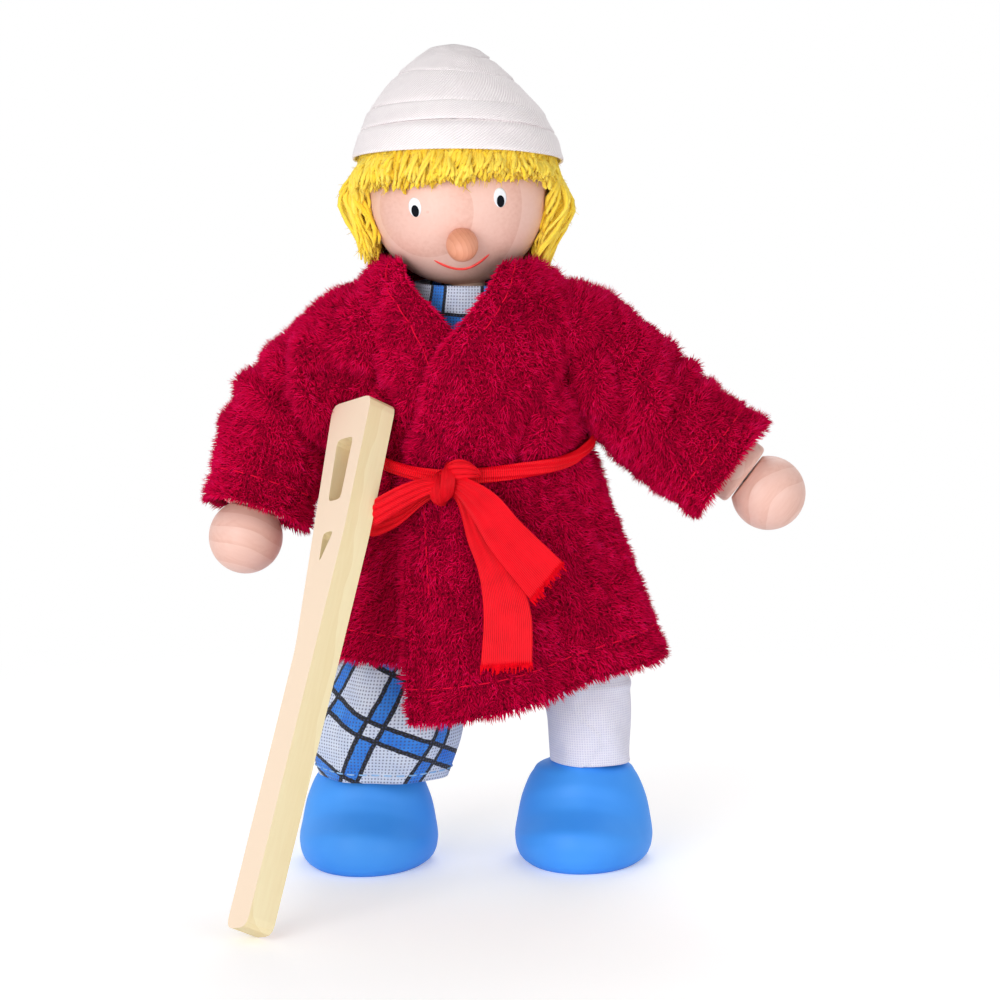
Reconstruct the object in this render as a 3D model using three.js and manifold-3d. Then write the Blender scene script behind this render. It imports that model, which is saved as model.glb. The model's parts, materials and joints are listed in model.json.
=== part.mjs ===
// A bendable doll dressed as a patient: wooden head, body, hands and shoes on wire limbs, in sewn cloth.
// Millimetres, +Z up. The doll faces -Y, and right and left are the doll's own, so its left is +X.
import * as THREE from 'three';
import { mergeVertices } from 'three/addons/utils/BufferGeometryUtils.js';
import Module from 'manifold-3d';

// Clearances and cloth
const gap = 0.3; // between pieces that touch
const robeCloth = 1.4; // terry with its pile
const cottonCloth = 0.8; // pyjama cotton
const gauzeCloth = 1.6; // folded gauze of the cast
const ribbonCloth = 0.8; // sash ribbon

// Wooden body
const torsoRadius = 9.4;
const torsoFoot = 44; // height of its lower face
const torsoHeight = 38.4;
const torsoTop = torsoFoot + torsoHeight;
const torsoDomeRise = 9.4; // height of the domed top
const torsoShoulder = torsoTop - torsoDomeRise;
const torsoEdge = 1.2; // rounding of the lower rim
const neckFlat = 4.6; // radius of the flat on the dome

// Head, in the doll's frame
const headRadius = 12.8;
const headLift = 15.4; // from the neck point to the head's centre
const headTilt = 6.5; // lean of the head towards the doll's right
const neckSink = 0.4; // the neck point below the top of the body
const neckHeight = torsoTop - neckSink;
const dowelRadius = 2.4;
const dowelInTorso = 2.4;
const dowelInHead = 7;
const noseRadius = 2.25;
const noseReach = 3.6; // from the face to the tip
const noseDrop = 27; // below the head's equator
const noseDroop = 14; // how far the peg points down
const nosePegRadius = 1.3;
const nosePegDepth = 4;

// Hair and bandage, from the head's centre
const headdressLean = -7.3; // turns them nearly upright on the leaning head
const brimHeight = 5.2;
const brimRadius = 15.1;
const bandageHeight = 20.8;
const bandageTurns = 5;
const lapStep = 0.75; // each lap's lower edge stands proud
const hairSide = 16.4; // radius of the hair at its fullest
const hairFront = 14.9; // radius of the fringe
const hairBottom = -9; // lower ends at the sides and back
const fringeBottom = 1;
const fringeHalfAngle = 50; // the face opening, each side
const hairBottomInner = 12.3;

// Limbs
const wireRadius = 1;
const wrapRadius = 2.8;
const wrapSetback = 3.2; // bare wire left at each bend
const shoulderDrop = 4.2; // the arm wire below the top of the body
const shoulderHeight = torsoTop - shoulderDrop;
const shoulderHalfSpan = 13.5;
const upperArmLength = 17.4;
const forearmLength = 20.5; // elbow to the hand's centre
const arms = {
  right: { side: -1, drop: 41.4, forward: -13, foreDrop: 67, foreForward: 42 },
  left: { side: 1, drop: 42.3, forward: 7, foreDrop: 36.5, foreForward: 7 },
};
const handRadius = 5.3;
const wristFlat = 3.7; // radius of the flat where the ball meets the collar
const collarRadius = 4.75;
const collarWidth = 2.4;
const collarEdge = 0.5;
const hipHalfSpan = 6.5;
const hipDrop = 3; // the leg's bend below the foot of the body
const hipHeight = torsoFoot - hipDrop;
const legRootDepth = 9; // wire held in the body
const thighLength = 13.5;
const ankleRight = 13.2; // each ankle's way out from the middle
const ankleLeft = 18.1;
const ankleRightBack = 0.5; // and back from the body's axis
const ankleLeftBack = 2;
const legs = {
  right: { side: -1, splay: 19, ankleX: -ankleRight, ankleY: ankleRightBack, toeOut: 8 },
  left: { side: 1, splay: 47, ankleX: ankleLeft, ankleY: ankleLeftBack, toeOut: -7 },
};

// Shoes, from the ankle axis
const shoeHeight = 14.4;
const shoeHalfWidth = 10;
const shoeToe = 13.5;
const shoeHeel = 8.6;
const shoeTopRadius = 5.9;
const shoeShift = -1.5; // the wire is set in off the shoe's middle
const ankleDepth = 8; // wire held in the shoe

// Robe
const chestHalfWidth = 16;
const waistHalfWidth = 15.9;
const collarHalfWidth = 11;
const collarStand = 5; // above the top of the body
const robeCollarTop = torsoTop + collarStand;
const collarShift = -1.6; // the collar follows the leaning head
const beltDrop = 18.9; // the sash at the sides and back, below the top of the body
const beltSide = torsoTop - beltDrop;
const beltDip = 6; // how far it drops at the front
const beltWidth = 3.8; // the ribbon is bunched round the waist
const ribbonWidth = 6.5;
const knotX = -2.4;
const knotRadius = 2.6;
const knotFlatness = 0.85; // its depth to its height
const loopLength = 10;
const loopDrop = 3.5;
const loopOpening = 3.2;
const sashTails = [{ across: 13, drop: 12.5 }, { across: 8.5, drop: 24.5 }];
const neckOpening = { point: -2.6, depth: 11.4, right: -11, left: 7 }; // V at the front, from the collar
const armholeRadius = 7.7;
const armholeDrop = 1.2; // its centre below the shoulder
const sleeveRadius = 8;
const sleeveBend = 7; // length each side of the elbow that takes the bend
const cuffRadius = { right: 7.4, left: 8.2 };
const cuffSetback = { right: 5, left: 7.2 }; // from the cuff's end to the hand's centre
const cuffSag = 0.6; // how far the cuff hangs off centre
const elbowCrease = 0.5; // depth of the creases each side of the elbow
const skirtLength = 31; // drop over which it flares
const skirtFlareLeft = 12; // how far it stands out past the waist there
const skirtFlareRight = 4.8;
const skirtFlareFront = 4.6;
const skirtFlareBack = 4.5;
const skirtDrop = 32; // from the sash to the hem at the sides and back
const hemSide = beltSide - skirtDrop;
const flapDrop = 39.9; // to the lower corner of the over-flap
const hemFlap = beltSide - flapDrop;
const overFlapEdge = 33; // degrees past the front centre, at the sash
const overFlapHem = 22; // and at the hem
const underFlapEdge = 25; // degrees of hidden overlap
const foldDepth = 1.4;

// Pyjamas and cast
const shirtStand = 2; // the collar above the top of the body
const shirtCollarTop = torsoTop + shirtStand;
const trouserRise = 14; // above the foot of the body
const trouserWaist = torsoFoot + trouserRise;
const shirtFoot = trouserWaist + 2 * gap;
const trouserLap = 0.2; // the hem hangs this far below the shoe's top
const trouserHem = shoeHeight - trouserLap;
const trouserKneeRadius = 8.9;
const trouserBellRadius = 10.4;
const trouserHemRadius = 9.3;
const trouserAboveKnee = 1.7; // the cut-off leg over the cast
const trouserLeftRadius = 6.7;
const castBelowKnee = 1.8;
const castTopRadius = 6.4;
const castFootRadius = 5.7;

// Crutch
const crutchLength = 77.4;
const crutchThickness = 4.2;
const crutchShaft = 5.2; // width of the shaft
const crutchFork = 40; // length of the plain shaft
const crutchFlare = 6.2; // how far the head spreads behind the shaft
const crutchRound = 1.6; // corner radius
const crutchLeg = 2.7; // width of the two legs of the head
const gripFrom = 57; // lower face of the grip bar, along the crutch
const gripWidth = 4.8;
const topBar = 6; // width of the arm rest
const forkSlot = 4.6; // height of the lower window
const headTaper = 1.4; // the front edge draws back above the grip
const crutchTipRight = 29.05; // its tip's way out from the middle
const crutchTipFront = 46.1; // and in front of the body's axis
const crutchLean = { x: 17, y: 36, z: 69.4 }; // direction of its length
const crutchTurn = 30; // its narrow edge faces this far to the left of straight ahead

const wasm = await Module();
wasm.setup();

const rad = THREE.MathUtils.degToRad;
const mix = THREE.MathUtils.lerp;

// Smooth share of the way from one value to another, either way round
function ease(value, from, to) {
  const t = THREE.MathUtils.clamp((value - from) / (to - from), 0, 1);
  return t * t * (3 - 2 * t);
}

const at = (x, y, z) => new THREE.Vector3(x, y, z);
const up = at(0, 0, 1);

// Positions only, shared vertices merged, no empty triangles, faces outwards
function tidy(geometry) {
  const plain = geometry.clone();
  for (const name of Object.keys(plain.attributes)) {
    if (name !== 'position') plain.deleteAttribute(name);
  }
  const merged = mergeVertices(plain, 1e-3);
  const source = merged.index.array;
  const index = [];
  let volume = 0;
  const corner = [at(0, 0, 0), at(0, 0, 0), at(0, 0, 0)];
  for (let i = 0; i < source.length; i += 3) {
    const [a, b, c] = source.subarray(i, i + 3);
    if (a === b || b === c || a === c) continue;
    index.push(a, b, c);
    [a, b, c].forEach((k, n) => corner[n].fromBufferAttribute(merged.attributes.position, k));
    volume += corner[0].dot(corner[1].clone().cross(corner[2]));
  }
  if (volume < 0) index.reverse();
  return new THREE.BufferGeometry()
    .setAttribute('position', merged.attributes.position)
    .setIndex(index);
}

function solidOf(geometry) {
  const clean = tidy(geometry);
  const vertProperties = clean.attributes.position.array;
  const triVerts = new Uint32Array(clean.index.array);
  return new wasm.Manifold(new wasm.Mesh({ numProp: 3, vertProperties, triVerts }));
}

function geometryOf(solid) {
  const { vertProperties, triVerts } = solid.getMesh();
  return new THREE.BufferGeometry()
    .setAttribute('position', new THREE.BufferAttribute(vertProperties, 3))
    .setIndex(new THREE.BufferAttribute(triVerts, 1));
}

function cut(geometry, ...tools) {
  return geometryOf(tools.reduce((solid, tool) => solid.subtract(solidOf(tool)), solidOf(geometry)));
}

// One solid from overlapping pieces, with no bubble sealed between them
function join(...pieces) {
  const whole = pieces.map(solidOf).reduce((solid, piece) => solid.add(piece));
  return geometryOf(wasm.Manifold.compose(whole.decompose().filter((body) => body.volume() > 0)));
}

// Smooth value at a height, through stations of [height, value]
function through(...stations) {
  const slope = stations.map((station, k) => {
    const before = stations[Math.max(k - 1, 0)];
    const after = stations[Math.min(k + 1, stations.length - 1)];
    return (after[1] - before[1]) / (after[0] - before[0]);
  });
  return (height) => {
    const z = THREE.MathUtils.clamp(height, stations[0][0], stations[stations.length - 1][0]);
    const k = Math.max(0, stations.findIndex((station) => station[0] >= z) - 1);
    const [[z0, v0], [z1, v1]] = [stations[k], stations[k + 1]];
    const span = z1 - z0;
    const t = (z - z0) / span;
    const held = v0 * (1 + 2 * t) * (1 - t) ** 2 + v1 * t * t * (3 - 2 * t);
    return held + span * t * (1 - t) * (slope[k] * (1 - t) - slope[k + 1] * t);
  };
}

// Two walls of points joined at their edges: a tube where they close round, otherwise a sheet
function shell(around, along, closed, outer, inner) {
  const columns = closed ? around : around + 1;
  const points = [];
  for (const wall of [outer, inner]) {
    for (let j = 0; j <= along; j++) {
      for (let i = 0; i < columns; i++) points.push(wall(i / around, j / along));
    }
  }
  const index = [];
  const spot = (wall, i, j) => (wall * (along + 1) + j) * columns + (i % columns);
  const quad = (a, b, c, d) => index.push(a, b, c, a, c, d);
  for (let i = 0; i < around; i++) {
    for (let j = 0; j < along; j++) {
      quad(spot(0, i, j), spot(0, i + 1, j), spot(0, i + 1, j + 1), spot(0, i, j + 1));
      quad(spot(1, i, j), spot(1, i, j + 1), spot(1, i + 1, j + 1), spot(1, i + 1, j));
    }
    quad(spot(1, i, 0), spot(1, i + 1, 0), spot(0, i + 1, 0), spot(0, i, 0));
    quad(spot(0, i, along), spot(0, i + 1, along), spot(1, i + 1, along), spot(1, i, along));
  }
  for (let j = 0; j < along && !closed; j++) {
    quad(spot(0, 0, j), spot(0, 0, j + 1), spot(1, 0, j + 1), spot(1, 0, j));
    const end = around;
    quad(spot(1, end, j), spot(1, end, j + 1), spot(0, end, j + 1), spot(0, end, j));
  }
  return tidy(new THREE.BufferGeometry().setFromPoints(points).setIndex(index));
}

// A solid from rings of points, closed by a fan at each end
function lofted(around, along, ring) {
  const points = [];
  for (let j = 0; j <= along; j++) {
    for (let i = 0; i < around; i++) points.push(ring(i / around, j / along));
  }
  const middle = (j) => {
    const row = points.slice(j * around, (j + 1) * around);
    return row.reduce((sum, p) => sum.add(p), at(0, 0, 0)).divideScalar(around);
  };
  const foot = points.push(middle(0)) - 1;
  const head = points.push(middle(along)) - 1;
  const index = [];
  for (let i = 0; i < around; i++) {
    const next = (i + 1) % around;
    index.push(foot, next, i, head, along * around + i, along * around + next);
    for (let j = 0; j < along; j++) {
      const [a, b] = [j * around + i, j * around + next];
      index.push(a, b, b + around, a, b + around, a + around);
    }
  }
  return tidy(new THREE.BufferGeometry().setFromPoints(points).setIndex(index));
}

// Turned about +Z from a profile of [radius, height]
function turned(profile, segments) {
  const points = profile.map(([radius, height]) => new THREE.Vector2(radius, height));
  return tidy(new THREE.LatheGeometry(points, segments).rotateX(Math.PI / 2));
}

// Points of [radius, height] on an arc round a centre on the axis
function arc(radius, centre, fromAngle, toAngle, steps) {
  return Array.from({ length: steps + 1 }, (_, k) => {
    const angle = rad(mix(fromAngle, toAngle, k / steps));
    return [Math.max(0, radius * Math.cos(angle)), centre + radius * Math.sin(angle)];
  });
}

const wood = new THREE.MeshStandardMaterial({ color: '#ecc9b0', roughness: 0.55 });
const noseWood = new THREE.MeshStandardMaterial({ color: '#d69a68', roughness: 0.5 });
const crutchWood = new THREE.MeshStandardMaterial({ color: '#eddcb2', roughness: 0.6 });
const shoePaint = new THREE.MeshStandardMaterial({ color: '#3e98fb', roughness: 0.35 });
const wire = new THREE.MeshStandardMaterial({ color: '#b9bcc0', roughness: 0.35, metalness: 1 });
const wrapCotton = new THREE.MeshStandardMaterial({ color: '#e6dccb', roughness: 0.95 });
const robeTerry = new THREE.MeshStandardMaterial({ color: '#a3002f', roughness: 1 });
const sashRibbon = new THREE.MeshStandardMaterial({ color: '#f01a14', roughness: 0.6 });
const hairYarn = new THREE.MeshStandardMaterial({ color: '#f6dc2e', roughness: 1 });
const bandageCotton = new THREE.MeshStandardMaterial({ color: '#f6efee', roughness: 0.95 });
const castGauze = new THREE.MeshStandardMaterial({ color: '#dcdcf0', roughness: 0.95 });
const pyjamaCotton = new THREE.MeshStandardMaterial({ color: '#9db9e6', roughness: 0.95 });

function add(parent, name, geometry, material) {
  const mesh = new THREE.Mesh(tidy(geometry), material);
  mesh.name = name;
  parent.add(mesh);
  return mesh;
}

function pivot(parent, name) {
  const group = new THREE.Group();
  group.name = name;
  parent.add(group);
  return group;
}

// Turns +Z along a direction, from a point
function aim(mesh, from, direction) {
  mesh.position.copy(from);
  mesh.quaternion.setFromUnitVectors(up, direction);
  return mesh;
}

// A straight wire along +Z: flat at its start, round at its end, whose centre is the next bend
function bendWire(start, length) {
  const rounded = arc(wireRadius, length, 0, 90, 3);
  return turned([[0, start], [wireRadius, start], ...rounded], 10);
}

function plainWire(start, end) {
  return turned([[0, start], [wireRadius, start], [wireRadius, end], [0, end]], 10);
}

// A plain ring along +Z, closed on itself
function sleeveRing(inner, outer, from, to, segments) {
  return turned([[inner, from], [outer, from], [outer, to], [inner, to], [inner, from]], segments);
}

const wireStart = wireRadius + gap; // the next wire begins clear of the round end
const bore = wireRadius + gap;

// The places of the joints, from the driving sizes
function limbDirection(side, drop, forward) {
  const [d, f] = [rad(drop), rad(forward)];
  return at(side * Math.cos(d) * Math.cos(f), -Math.cos(d) * Math.sin(f), -Math.sin(d));
}

const headAxis = at(-Math.sin(rad(headTilt)), 0, Math.cos(rad(headTilt)));
const neckPoint = at(0, 0, neckHeight);
const headCentre = neckPoint.clone().addScaledVector(headAxis, headLift);

for (const arm of Object.values(arms)) {
  arm.shoulder = at(arm.side * shoulderHalfSpan, 0, shoulderHeight);
  arm.upper = limbDirection(arm.side, arm.drop, arm.forward);
  arm.fore = limbDirection(arm.side, arm.foreDrop, arm.foreForward);
  arm.elbow = arm.shoulder.clone().addScaledVector(arm.upper, upperArmLength);
  arm.hand = arm.elbow.clone().addScaledVector(arm.fore, forearmLength);
}

for (const leg of Object.values(legs)) {
  leg.hip = at(leg.side * hipHalfSpan, 0, hipHeight);
  leg.thigh = limbDirection(leg.side, 90 - leg.splay, 0);
  leg.knee = leg.hip.clone().addScaledVector(leg.thigh, thighLength);
  leg.ankle = at(leg.ankleX, leg.ankleY, shoeHeight - ankleDepth);
  leg.shinLength = leg.knee.distanceTo(leg.ankle);
  leg.shin = leg.ankle.clone().sub(leg.knee).normalize();
}

const castTop = legs.left.knee.z - castBelowKnee;
const trouserLeftEnd = legs.left.knee.z + trouserAboveKnee;

const doll = new THREE.Group();
const torso = pivot(doll, 'torso');

// Wooden body, bored across for the arm wire, from below for the legs and from above for the neck
const domeHeight = (torsoTop - torsoShoulder) / Math.sqrt(1 - (neckFlat / torsoRadius) ** 2);

function torsoDome(z, offset) {
  const rise = Math.max(0, z - torsoShoulder) / (domeHeight + offset);
  return (torsoRadius + offset) * Math.sqrt(Math.max(0, 1 - rise * rise));
}

const domeSteps = 5;
const domeProfile = Array.from({ length: domeSteps + 1 }, (_, k) => {
  const z = mix(torsoShoulder, torsoTop, Math.sin((k / domeSteps) * (Math.PI / 2)));
  return [torsoDome(z, 0), z];
});
const torsoProfile = [
  [0, torsoFoot],
  [torsoRadius - torsoEdge, torsoFoot],
  [torsoRadius, torsoFoot + torsoEdge],
  ...domeProfile,
  [0, torsoTop],
];
const crossBore = plainHole(bore, torsoRadius * 3).rotateY(Math.PI / 2).translate(0, 0, shoulderHeight);
const neckHole = plainHole(dowelRadius + gap, 2 * dowelInTorso + gap);
const neckTurn = new THREE.Quaternion().setFromUnitVectors(up, headAxis);
const torsoTopOnAxis = neckPoint.clone().addScaledVector(headAxis, torsoTop - neckHeight);
neckHole.applyQuaternion(neckTurn).translate(...torsoTopOnAxis.toArray());
const legHoles = Object.values(legs).map((leg) => {
  const hole = plainHole(bore, 2 * (legRootDepth + gap));
  return hole.translate(leg.hip.x, 0, torsoFoot);
});
add(torso, 'torso_block', cut(turned(torsoProfile, 24), crossBore, neckHole, ...legHoles), wood);

// A drill along Z, centred on the origin
function plainHole(radius, length) {
  return turned([[0, -length / 2], [radius, -length / 2], [radius, length / 2], [0, length / 2]], 16);
}

const dowelFoot = torsoTop - neckHeight - dowelInTorso;
const dowelHead = headLift - headRadius + dowelInHead;
const dowelProfile = [[0, dowelFoot], [dowelRadius, dowelFoot], [dowelRadius, dowelHead], [0, dowelHead]];
aim(add(torso, 'neck_dowel', turned(dowelProfile, 20), wood), neckPoint, headAxis);

for (const [side, leg] of Object.entries(legs)) {
  const root = bendWire(0, torsoFoot + legRootDepth - hipHeight);
  const mesh = add(torso, `leg_wire_root_${side}`, root, wire);
  aim(mesh, at(leg.hip.x, 0, torsoFoot + legRootDepth), at(0, 0, -1));
}

// A ring of cloth round the body: reaches of its outline to the doll's left, right, front and back
function outline(angle, left, right, front, back) {
  const [s, c] = [Math.sin(angle), Math.cos(angle)];
  return [s * (s > 0 ? left : right), -c * (c > 0 ? front : back)];
}

const turn = (u) => u * Math.PI * 2;

// Pyjama shirt and trouser seat, close round the body
function shirtRadius(z, offset) {
  const collar = mix(neckFlat + 3, neckFlat + 2.4, ease(z, torsoTop, shirtCollarTop));
  return Math.max(torsoDome(z, gap), collar) + offset;
}

function roundCloth(from, to, radius, offset) {
  return (u, v) => {
    const z = mix(from, to, v);
    const r = radius(z, offset);
    return at(r * Math.sin(turn(u)), -r * Math.cos(turn(u)), z);
  };
}

const shirtWall = (offset) => roundCloth(shirtFoot, shirtCollarTop, shirtRadius, offset);
const shirtArmholes = plainHole(wireRadius + 2 * gap, torsoRadius * 4).rotateY(Math.PI / 2);
shirtArmholes.translate(0, 0, shoulderHeight);
const shirtTube = shell(22, 7, true, shirtWall(cottonCloth), shirtWall(0));
add(torso, 'pyjama_shirt', cut(shirtTube, shirtArmholes), pyjamaCotton);

const seatFoot = torsoFoot;
const seatRadius = (z, offset) => torsoRadius + gap + offset;
const seatWall = (offset) => roundCloth(seatFoot, trouserWaist, seatRadius, offset);
add(torso, 'trouser_seat', shell(20, 1, true, seatWall(cottonCloth), seatWall(0)), pyjamaCotton);

// Robe bodice, from the sash line to the collar, with the V neck and the armholes cut out
const robeDepth = torsoRadius + 2 * gap + cottonCloth + robeCloth;
const shoulderSlope = robeCollarTop - shoulderHeight;
const bodiceWidth = through(
  [beltSide - beltDip, waistHalfWidth],
  [beltSide, waistHalfWidth],
  [shoulderHeight - 4, chestHalfWidth],
  [shoulderHeight + 0.3 * shoulderSlope, chestHalfWidth - 0.4],
  [shoulderHeight + 0.65 * shoulderSlope, mix(chestHalfWidth, collarHalfWidth, 0.4)],
  [shoulderHeight + 0.88 * shoulderSlope, mix(chestHalfWidth, collarHalfWidth, 0.8)],
  [robeCollarTop, collarHalfWidth],
);
const bodiceDepth = through(
  [beltSide - beltDip, robeDepth],
  [shoulderHeight - 4, robeDepth],
  [shoulderHeight + 0.3 * shoulderSlope, robeDepth - 0.2],
  [robeCollarTop, collarHalfWidth - 0.5],
);
const bodiceShift = (z) => collarShift * ease(z, shoulderHeight, robeCollarTop);

function beltHeight(angle) {
  return beltSide - beltDip * ((1 + Math.cos(angle)) / 2) ** 2;
}

function bodiceWall(offset, lower, upper) {
  return (u, v) => {
    const angle = turn(u);
    const z = mix(beltHeight(angle) + lower, robeCollarTop + upper, v);
    const [width, depth] = [bodiceWidth(z) + offset, bodiceDepth(z) + offset];
    const [x, y] = outline(angle, width, width, depth, depth);
    return at(x + bodiceShift(z), y, z);
  };
}

const neckShape = new THREE.Shape([
  new THREE.Vector2(neckOpening.point, robeCollarTop - neckOpening.depth),
  new THREE.Vector2(neckOpening.left, robeCollarTop),
  new THREE.Vector2(neckOpening.left, robeCollarTop + robeCloth),
  new THREE.Vector2(neckOpening.right, robeCollarTop + robeCloth),
  new THREE.Vector2(neckOpening.right, robeCollarTop),
]);
const neckWedge = new THREE.ExtrudeGeometry(neckShape, { depth: 3 * robeDepth, bevelEnabled: false });
neckWedge.rotateX(Math.PI / 2).translate(0, -gap, 0);
const armholes = plainHole(armholeRadius, 4 * chestHalfWidth).rotateY(Math.PI / 2);
armholes.translate(0, 0, shoulderHeight - armholeDrop);
const bodiceTube = shell(32, 7, true, bodiceWall(0, 0, 0), bodiceWall(-robeCloth, 0, 0));
add(torso, 'robe_bodice', cut(bodiceTube, neckWedge, armholes), robeTerry);
const bodiceEnvelope = lofted(32, 7, bodiceWall(1.3 * gap, -beltDip, gap));

// Robe skirt: one cloth from the hidden under-flap round the back to the over-flap
const skirtFolds = [
  { angle: 62, depth: 1, width: 16 },
  { angle: 36, depth: -0.9, width: 13 },
  { angle: 100, depth: -0.8, width: 16 },
  { angle: 140, depth: 1, width: 18 },
  { angle: 180, depth: -0.8, width: 16 },
  { angle: 218, depth: 1, width: 18 },
  { angle: 258, depth: -0.7, width: 14 },
  { angle: 292, depth: 0.8, width: 14 },
];

function foldAt(degrees) {
  return skirtFolds.reduce((sum, fold) => {
    const away = ((degrees - fold.angle + 540) % 360) - 180;
    return sum + fold.depth * Math.exp(-((away / fold.width) ** 2));
  }, 0);
}

// Hem height by degrees from the front towards the doll's left, counted on past a whole turn
function hemHeight(degrees) {
  const flap = 1 - ease(degrees, -overFlapHem, 75);
  return mix(hemSide, hemFlap, flap);
}

// Where the over-flap lies on the under-flap it stands off by one layer, and the sash follows it
const skirtFlares = [skirtFlareLeft, skirtFlareRight, skirtFlareFront, skirtFlareBack];
const layerStep = robeCloth + gap;
const layerAt = (degrees) => layerStep * (1 - ease(degrees, 30, 110));

function waistOutline(angle, left, right, front, back, offset) {
  const [width, depth] = [waistHalfWidth + offset, robeDepth + offset];
  return outline(angle, width + left, width + right, depth + front, depth + back);
}

// A point of the skirt: degrees run from the over-flap's edge round the left, back and right
function skirtPoint(degrees, down, offset) {
  const angle = rad(degrees);
  const top = beltHeight(angle) - gap;
  const z = mix(top, hemHeight(degrees), down);
  const share = (top - z) / skirtLength;
  const [left, right, front, back] = skirtFlares.map((flare) => flare * share);
  const depth = offset + layerAt(degrees) + foldDepth * share * foldAt(degrees);
  const [x, y] = waistOutline(angle, left, right, front, back, depth);
  return at(x, y, z);
}

function skirtWall(offset) {
  return (u, v) => {
    const edge = mix(overFlapEdge, overFlapHem, v);
    return skirtPoint(mix(-edge, 360 + underFlapEdge, u), v, offset);
  };
}

add(torso, 'robe_skirt', shell(48, 6, false, skirtWall(0), skirtWall(-robeCloth)), robeTerry);

// The sash: a band round the waist with a knot, one loop and two tails, all one ribbon
function sashWall(offset, spread) {
  return (u, v) => {
    const degrees = mix(-180, 180, u);
    const angle = rad(degrees);
    const lap = layerAt(degrees) * ease(degrees, -overFlapEdge - 30, -overFlapEdge - 3);
    const lift = mix(-1, 1, v) * (beltWidth / 2 + spread);
    const share = Math.max(0, gap - lift) / skirtLength;
    const [left, right, front, back] = skirtFlares.map((flare) => flare * share);
    const [x, y] = waistOutline(angle, left, right, front, back, offset + lap);
    return at(x, y, beltHeight(angle) + lift);
  };
}

// A strip of ribbon along a curve on the front of the robe
function ribbonStrip(curve, width, widthDirection) {
  const wall = (offset) => (u, v) => {
    const point = curve.getPoint(v).addScaledVector(widthDirection, mix(-width / 2, width / 2, u));
    const normal = curve.getTangent(v).cross(widthDirection).normalize();
    return point.addScaledVector(normal, offset);
  };
  return shell(2, 9, false, wall(ribbonCloth / 2), wall(-ribbonCloth / 2));
}

const knotFront = -robeDepth - layerStep - gap;
const knotAt = at(knotX, knotFront - knotRadius * knotFlatness, beltSide - beltDip);
const knotBall = new THREE.SphereGeometry(knotRadius, 12, 7).scale(1.15, knotFlatness, 1);
knotBall.translate(...knotAt.toArray());
const frontAt = (drop) => knotFront - ribbonCloth - ((skirtFlareFront + foldDepth) * drop) / skirtLength;

// Each tail lies in front of the one before it
function tailCurve(tail, layer) {
  const drop = (share) => tail.drop * share;
  const point = (share) => {
    return at(knotX + tail.across * share, frontAt(drop(share)) - layer, knotAt.z - drop(share));
  };
  return new THREE.CatmullRomCurve3([0, 0.25, 0.5, 0.75, 1].map(point));
}

const tailStrips = sashTails.map((tail, k) => {
  const along = at(tail.across, 0, -tail.drop).normalize();
  return ribbonStrip(tailCurve(tail, k * ribbonCloth * 1.3), ribbonWidth, at(along.z, 0, -along.x));
});
const loopPoint = (share, forward) => {
  return at(knotX - loopLength * share, knotAt.y - loopOpening * forward, knotAt.z - loopDrop * share);
};
const loopCurve = new THREE.CatmullRomCurve3([
  loopPoint(0.05, 0.4),
  loopPoint(0.45, 0.9),
  loopPoint(0.85, 0.75),
  loopPoint(1, 0.3),
  loopPoint(0.85, -0.05),
  loopPoint(0.45, -0.1),
  loopPoint(0.05, -0.1),
]);
const loopStrip = ribbonStrip(loopCurve, ribbonWidth * 0.8, at(0.25, 0, 0.97));
const band = shell(36, 2, true, sashWall(gap + ribbonCloth, 0), sashWall(gap, 0));
add(torso, 'belt_sash', join(band, knotBall, loopStrip, ...tailStrips), sashRibbon);
const sashEnvelope = lofted(36, 2, sashWall(2 * gap + ribbonCloth, gap));

// Head with its dowel hole and peg nose, in its own leaning frame
const head = pivot(doll, 'head');
aim(head, headCentre, headAxis);
const noseAxis = at(0, -Math.cos(rad(noseDroop)), -Math.sin(rad(noseDroop)));
const noseSeat = at(0, -Math.cos(rad(noseDrop)), -Math.sin(rad(noseDrop))).multiplyScalar(headRadius);
const noseTurn = new THREE.Quaternion().setFromUnitVectors(up, noseAxis);
const dowelHole = plainHole(dowelRadius + gap, 2 * (dowelInHead + gap)).translate(0, 0, -headRadius);
const noseHole = plainHole(nosePegRadius + gap, 2 * (nosePegDepth + gap));
noseHole.applyQuaternion(noseTurn).translate(...noseSeat.toArray());
const ball = turned(arc(headRadius, 0, -90, 90, 13), 24);
add(head, 'head_ball', cut(ball, dowelHole, noseHole), wood);

const noseBall = arc(noseRadius, noseReach - noseRadius, -40, 90, 6);
const noseBase = Math.max(noseBall[0][1], gap);
const noseProfile = [
  [0, -nosePegDepth],
  [nosePegRadius, -nosePegDepth],
  [nosePegRadius, noseBase - 0.1],
  ...noseBall.filter(([, height]) => height >= noseBase),
];
const nose = aim(add(head, 'nose_peg', turned(noseProfile, 16), noseWood), noseSeat, noseAxis);
const faceClear = turned(arc(headRadius + gap, 0, -90, 90, 13), 24);
const peg = turned(noseProfile.slice(0, 2).concat([[nosePegRadius, gap], [0, gap]]), 16);
const noseFront = nose.geometry.clone().applyQuaternion(nose.quaternion).translate(...noseSeat.toArray());
peg.applyQuaternion(nose.quaternion).translate(...noseSeat.toArray());
nose.geometry = join(cut(noseFront, faceClear), peg);
nose.position.set(0, 0, 0);
nose.quaternion.identity();

// Hair and bandage stand nearly upright on the leaning head
const headdress = pivot(head, 'headdress');
headdress.rotation.y = rad(-headdressLean);

const hairTop = brimHeight - gap;
const scalp = headRadius + 1.5 * gap;

function hairEdge(degrees) {
  return mix(fringeBottom, hairBottom, ease(Math.abs(degrees), fringeHalfAngle, fringeHalfAngle + 14));
}

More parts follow.
